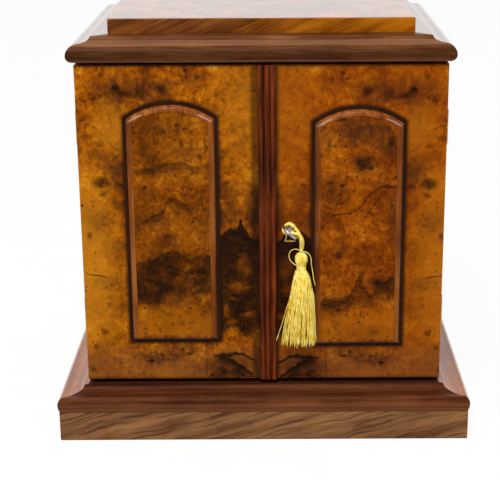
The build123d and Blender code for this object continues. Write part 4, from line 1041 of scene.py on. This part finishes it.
def tubes(lines, radii, corners, steady):
    """Vertices and faces of one round tube along each line.

    A ring of corners stands round every point of a line: the point plus its radius times
    (cosine of the angle times one side + sine of the angle times the other). Neighbouring rings
    are joined by four-sided faces, and each end is closed by one face.
    """
    lines = lines if lines.ndim == 3 else lines[None]
    count, stations = lines.shape[:2]
    first, second = sides_of(lines, steady)
    angles = np.arange(corners) * 2 * np.pi / corners
    cosines, sines = np.cos(angles)[:, None], np.sin(angles)[:, None]
    ring = first[:, :, None] * cosines + second[:, :, None] * sines
    wide = np.broadcast_to(np.asarray(radii, float), (count, stations))[..., None, None]
    vertices = (lines[:, :, None] + ring * wide).reshape(-1, 3)
    station, corner = np.meshgrid(np.arange(stations - 1), np.arange(corners), indexing="ij")
    here = station * corners + corner
    beside = station * corners + (corner + 1) % corners
    wall = np.stack([here, beside, beside + corners, here + corners], -1).reshape(-1, 4)
    start = np.arange(count)[:, None] * stations * corners
    walls = (start[..., None] + wall).reshape(-1, 4)
    near = start + np.arange(corners)[::-1]
    far = start + (stations - 1) * corners + np.arange(corners)
    return vertices, walls, np.r_[near, far]


def add_piece(name, vertices, faces, material, smooth=True, caps=()):
    """A new mesh piece from arrays of vertices and faces, with outward faces and one finish."""
    mesh = bpy.data.meshes.new(name)
    every_face = [*np.asarray(faces).tolist(), *np.asarray(caps).tolist()]
    mesh.from_pydata(vertices.tolist(), [], every_face)
    mesh.polygons.foreach_set("use_smooth", [smooth] * len(faces) + [False] * len(caps))
    mesh.materials.append(material)
    mesh.validate()
    piece = bpy.data.objects.new(name, mesh)
    bpy.context.scene.collection.objects.link(piece)
    return piece


# %% Wind three plies along the route
LAY_LENGTH = 4.6 * MM
PLIES = 3
PLY_SHARE = 0.50
PLY_CORNERS = 10
cord_line = smooth_line("cord_line", cord_route)
ahead = unit(np.gradient(cord_line, axis=0))
cord_steady = unit(np.cross(ahead[:-1], ahead[1:]).sum(0))
ply_radius = CORD_DIAMETER / 2 * PLY_SHARE * MM
stand_off = CORD_DIAMETER / 2 * MM - ply_radius
first, second = sides_of(cord_line, cord_steady)
winding = lengths_along(cord_line) / LAY_LENGTH * 2 * np.pi
phases = np.arange(PLIES)[:, None] * 2 * np.pi / PLIES + winding
sideways = first * np.cos(phases)[..., None] + second * np.sin(phases)[..., None]
plies = cord_line + stand_off * sideways
vertices, walls, caps = tubes(plies, ply_radius, PLY_CORNERS, cord_steady)
tassel_cord = add_piece("tassel_silk_cord", vertices, walls, finishes["silk"], caps=caps)
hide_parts("tassel_cord")
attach(tassel_cord, "tassel")
print("cord length mm:", round(float(lengths_along(cord_line)[-1]) / MM, 1))
lean = float(np.abs(ahead @ cord_steady).max())
print("how far the cord leans to its steady direction:", round(lean, 2))

# %% [markdown]
# ## The tassel
# A tassel is a hank of yarn folded over the cord, tied round under the fold so that it makes a
# head, and cut off below. The head is a ball of ribs, one for each bundle of yarn that bends over
# it. The skirt is several layers of single threads that hang in flutes and end raggedly.

# %% The head
HEAD_RADIUS, HEAD_LENGTH = 5.2, 12.6
NECK_RADIUS, NECK_LENGTH = 3.9, 5.4
TASSEL_OUT = 14.95
tassel_axis = np.array([TASSEL_X, FACE_Y - TASSEL_OUT, TASSEL_TOP])


def ribbed_head(name, rings=56, columns=240, ribs=30):
    """The head: a profile of height and radius turned about the tassel's axis.

    The profile is a round ball drawn in to a neck. The ribs add a little to its radius, as the
    absolute sine of the angle, which lean as they go down, and fade out at the crown.
    """
    share = np.linspace(0, 1, rings)[:, None]
    around = np.linspace(0, 2 * np.pi, columns, endpoint=False)[None]
    ball = HEAD_RADIUS * (1 - (1 - np.minimum(share / 0.34, 1)) ** 2.4) ** 0.5
    drawn_in = 0.5 - 0.5 * np.cos(np.pi * np.clip((share - 0.38) / 0.32, 0, 1))
    radius = ball * (1 - drawn_in) + NECK_RADIUS * drawn_in
    radius = np.maximum(radius, 0.02)
    relief = np.abs(np.sin(around * ribs / 2 + share * 1.2)) * np.minimum(share / 0.2, 1)
    radius = radius * (0.955 + 0.05 * relief)
    drop = share * (HEAD_LENGTH + NECK_LENGTH)
    places = np.stack([radius * np.cos(around), radius * np.sin(around),
                       np.broadcast_to(-drop, radius.shape)], -1)
    vertices = (tassel_axis + places).reshape(-1, 3) * MM
    ring, column = np.meshgrid(np.arange(rings - 1), np.arange(columns), indexing="ij")
    here, beside = ring * columns + column, ring * columns + (column + 1) % columns
    faces = np.stack([here, here + columns, beside + columns, beside], -1).reshape(-1, 4)
    lids = [np.arange(columns), np.arange(columns)[::-1] + (rings - 1) * columns]
    return add_piece(name, vertices, faces, finishes["silk"], caps=lids)


tassel_head = ribbed_head("tassel_yarn_head")
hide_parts("tassel_head")
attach(tassel_head, "tassel")
print("head faces:", len(tassel_head.data.polygons))

# %% The skirt of threads
SKIRT_LEVELS = np.array([(0, -0.2, 4.3, 3.9), (4.5, 0.4, 5.8, 5.0), (14, 0.5, 7.8, 5.8),
                         (22, 0.6, 9.5, 6.2), (43, -0.8, 12.0, 6.6), (62, -1.9, 13.6, 6.8),
                         (68, -2.2, 14.0, 6.9)])
FLUTES, FLUTE_DEPTH = 14, 0.07
TUCKED_IN = 1.5
SKIRT_TOP = TASSEL_TOP - HEAD_LENGTH - NECK_LENGTH
THREAD_STATIONS = 22
THREAD_CORNERS = 5
OUTWARD = (0.0, 1.0, 0.0)


def skirt_threads(count, depth_share, thread_radius, longest, shortest, wander):
    """Lines of one layer of skirt threads, and their radii.

    Thread k starts at its own angle round the neck. Further down its place is the skirt's middle
    plus (half width times cosine, half depth times sine) of that angle, scaled to this layer, with
    the flutes as a cosine of the angle and a slow sideways sway of its own.
    """
    angle = (np.arange(count) + chance.uniform(-0.35, 0.35, count))[:, None] * 2 * np.pi / count
    share = np.linspace(0, 1, THREAD_STATIONS)[None]
    drop = share * chance.uniform(shortest, longest, count)[:, None]
    level = [np.interp(drop, SKIRT_LEVELS[:, 0], SKIRT_LEVELS[:, k]) for k in (1, 2, 3)]
    phase = chance.uniform(0, 6.3, (count, 1))
    pace = chance.uniform(2, 7, (count, 1))
    angle = angle + wander * share * np.sin(phase + share * pace)
    flute = 1 + FLUTE_DEPTH * np.cos(FLUTES * angle) * np.minimum(share * 3, 1)
    puff = depth_share * (1 + chance.uniform(-0.05, 0.03, (count, 1)) * share)
    places = np.stack([level[0] + level[1] * puff * flute * np.cos(angle),
                       level[2] * puff * flute * np.sin(angle), -drop], -1)
    top = np.array([TASSEL_X, FACE_Y - TASSEL_OUT, SKIRT_TOP + TUCKED_IN])
    thin = thread_radius * (1 - 0.25 * share) * np.ones((count, 1))
    return (top + places) * MM, thin * MM


SKIRT_LAYERS = [(84, 1.02, 0.40, 19, 9, 0.05), (116, 0.97, 0.40, 66, 62.6, 0.12),
                (90, 0.80, 0.44, 65, 57, 0.16), (60, 0.55, 0.5, 64, 56, 0.2),
                (26, 0.25, 0.6, 62, 55, 0.2)]
layers = [skirt_threads(*layer) for layer in SKIRT_LAYERS]
thread_lines = np.concatenate([lines for lines, _ in layers])
thread_radii = np.concatenate([radii for _, radii in layers])
vertices, walls, caps = tubes(thread_lines, thread_radii, THREAD_CORNERS, OUTWARD)
skirt = add_piece("tassel_yarn_skirt", vertices, walls, finishes["silk"], caps=caps)
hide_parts("tassel_skirt")
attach(skirt, "tassel")
print("skirt threads:", len(thread_lines), "faces:", len(skirt.data.polygons))

# %% [markdown]
# ## Stray threads
# An old tassel has a few threads that have worked loose: one curls beside the head, one hangs well
# clear on the right, and two stand out at the foot. Each is a smooth line through a few points.

# %% Threads that have worked loose
STRAY_OUT = 16.5
STRAY_CORNERS = 6
strays = {
    "curl_left": ([(31.5, 166.4), (29, 168.6), (24.2, 168.6), (21.2, 164.6), (21.8, 159.4),
                   (25.0, 155.6), (29.2, 153.2), (30.5, 149)], 0.34),
    "hanging_right": ([(32.4, 166.0), (34.4, 166.6), (38.2, 164.8), (40.0, 160.0), (39.8, 154.0),
                       (41.4, 148.6), (41.6, 142.6), (43.2, 136.4)], 0.34),
    "foot_left": ([(24.2, 128.0), (20.4, 121.4), (18.4, 112.6), (16.0, 103.8), (13.2, 95.4),
                   (10.9, 88.0)], 0.30),
    "foot_right": ([(39.0, 108.0), (41.4, 101.2), (42.6, 95.8), (44.2, 90.0)], 0.30),
}
stray_pieces = []
for name, (places, radius) in strays.items():
    route = [np.array([x, FACE_Y - STRAY_OUT, z]) * MM for x, z in places]
    line = smooth_line(name, route, 4, 6)
    vertices, walls, caps = tubes(line, radius * MM, STRAY_CORNERS, OUTWARD)
    thread = add_piece("stray_thread_" + name, vertices, walls, finishes["silk"], caps=caps)
    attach(thread, "tassel")
    stray_pieces.append(thread)
print("stray threads:", len(stray_pieces))

# %% [markdown]
# ## Velvet in the drawers
# Each drawer is lined with velvet over a thin pad, so that what lies in it doesn't rattle. A pad is
# a low pillow: almost flat in the middle, with rolled edges and rounded corners, and a gentle
# unevenness from the wadding. It is one height over a rectangle, closed by a flat underside.

# %% The drawer linings
DOME_EASE = 0.35
WELD_DISTANCE = 0.00001


def velvet_pad(name, low, high, columns=90, rows=70, seed=0):
    """A pad that fills the box from low to high.

    The height is the box's height times a dome for each direction, one minus the distance from the
    middle to the eighth power, raised to DOME_EASE, with a small wave added; the underside is flat.
    The grid is drawn towards the edges by a sine taken twice, so that the rolled edge stays round.
    """
    steps = np.meshgrid(np.linspace(-1, 1, columns), np.linspace(-1, 1, rows), indexing="ij")
    u, v = (np.sin(np.sin(step * np.pi / 2) * np.pi / 2) for step in steps)
    dome = np.clip((1 - u ** 8) * (1 - v ** 8), 0, 1) ** DOME_EASE
    lumps = np.sin(5.1 * u + seed) * np.sin(4.3 * v - seed) + np.sin(9.7 * v + 2 * seed * u)
    wave = 0.5 + 0.25 * lumps
    size = high - low
    middle = (high + low) / 2
    top = low[2] + size[2] * dome * (0.80 + 0.18 * wave)
    flat = np.stack([middle[0] + u * size[0] / 2, middle[1] + v * size[1] / 2], -1)
    upper = np.concatenate([flat, top[..., None]], -1).reshape(-1, 3)
    lower = np.concatenate([flat, np.full_like(top, low[2])[..., None]], -1).reshape(-1, 3)
    index = np.arange(columns * rows).reshape(columns, rows)
    corners = [index[:-1, :-1], index[1:, :-1], index[1:, 1:], index[:-1, 1:]]
    quads = np.stack(corners, -1).reshape(-1, 4)
    underside = quads[:, ::-1] + columns * rows
    piece = add_piece(name, np.r_[upper, lower] * MM, np.r_[quads, underside], finishes["velvet"])
    weld = piece.modifiers.new("weld", "WELD")
    weld.merge_threshold = WELD_DISTANCE
    return piece


for number in sorted(drawer_numbers):
    lining = f"drawer_{number}_lining"
    pad = velvet_pad(f"velvet_pad_{number}", *span(lining), seed=number)
    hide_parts(lining)
    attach(pad, f"drawer_{number}")
print("velvet pads:", len(drawer_numbers))

# %% [markdown]
# ## The room
# The cabinet stands on a plain pale table under soft, even light: a bright sky all round it and one
# wide lamp above and in front. The camera, and glossy surfaces, see white where nothing is.

# %% The floor
TABLE_GLOW, GLOW_SHARE = 1.10, 0.84
FLOOR_HALF = 3.0
FLOOR_GAP = 0.0001


def background_rays(tree):
    """1 for rays from the camera, a reflection or glass, which see the white background."""
    kinds = ("Is Camera Ray", "Is Glossy Ray", "Is Transmission Ray")
    first, second, third = (Wire(tree).add("LightPath", output=kind) for kind in kinds)
    return first.larger(second).larger(third)


def pale_floor():
    """A white table that keeps the cabinet's shadow: part of it glows evenly for the camera."""
    material, shader, place = start_material("pale_table", 0.8, 0.2)
    speckle = cloud(place, 60, 2)
    finish_shader(shader, ramp(speckle, (0.3, (0.40, 0.40, 0.395)), (0.7, (0.44, 0.44, 0.435))))
    tree = material.node_tree
    glow = Wire(tree).add("Emission", {}, {"Color": (1, 1, 1, 1), "Strength": TABLE_GLOW})
    body = Wire(tree, shader.outputs[0])
    blend = glow.add("MixShader", {}, {0: background_rays(tree) * GLOW_SHARE, 1: body, 2: glow})
    tree.links.new(blend.socket, tree.nodes["Material Output"].inputs["Surface"])
    return material


def flat_sheet(name, half_width, height, material):
    """A level square about the origin."""
    corners = np.array([(-1, -1), (1, -1), (1, 1), (-1, 1)]) * half_width
    vertices = np.c_[corners, np.full(4, height)]
    return add_piece(name, vertices, [[0, 1, 2, 3]], material, smooth=False)


floor = flat_sheet("table_top", FLOOR_HALF, cad_low[2] - FLOOR_GAP, pale_floor())
print("table top reaches m:", FLOOR_HALF)

# %% Sky and lamp
SKY = 0.60
LAMP_PLACE, LAMP_AIM, LAMP_SIZE, LAMP_POWER = (-0.3, -1.35, 2.0), (0, 0, 0.15), 0.9, 42
world = bpy.data.worlds.new("sky")
world.use_nodes = True
tree = world.node_tree
background = tree.nodes["Background"]
background.inputs["Color"].default_value = (1, 1, 1, 1)
tree.links.new((SKY + background_rays(tree) * (1 - SKY)).socket, background.inputs["Strength"])
bpy.context.scene.world = world


def add_lamp(name, place, aim, size, power):
    """A square lamp at a place, turned towards its aim."""
    data = bpy.data.lights.new(name, "AREA")
    data.size = size
    data.energy = power
    lamp = bpy.data.objects.new(name, data)
    lamp.location = place
    lamp.rotation_euler = (Vector(aim) - Vector(place)).to_track_quat("-Z", "Y").to_euler()
    bpy.context.scene.collection.objects.link(lamp)
    return lamp


add_lamp("window", LAMP_PLACE, LAMP_AIM, LAMP_SIZE, LAMP_POWER)
print("sky strength", SKY)

# %% Plain display colours
bpy.context.scene.view_settings.view_transform = "Standard"
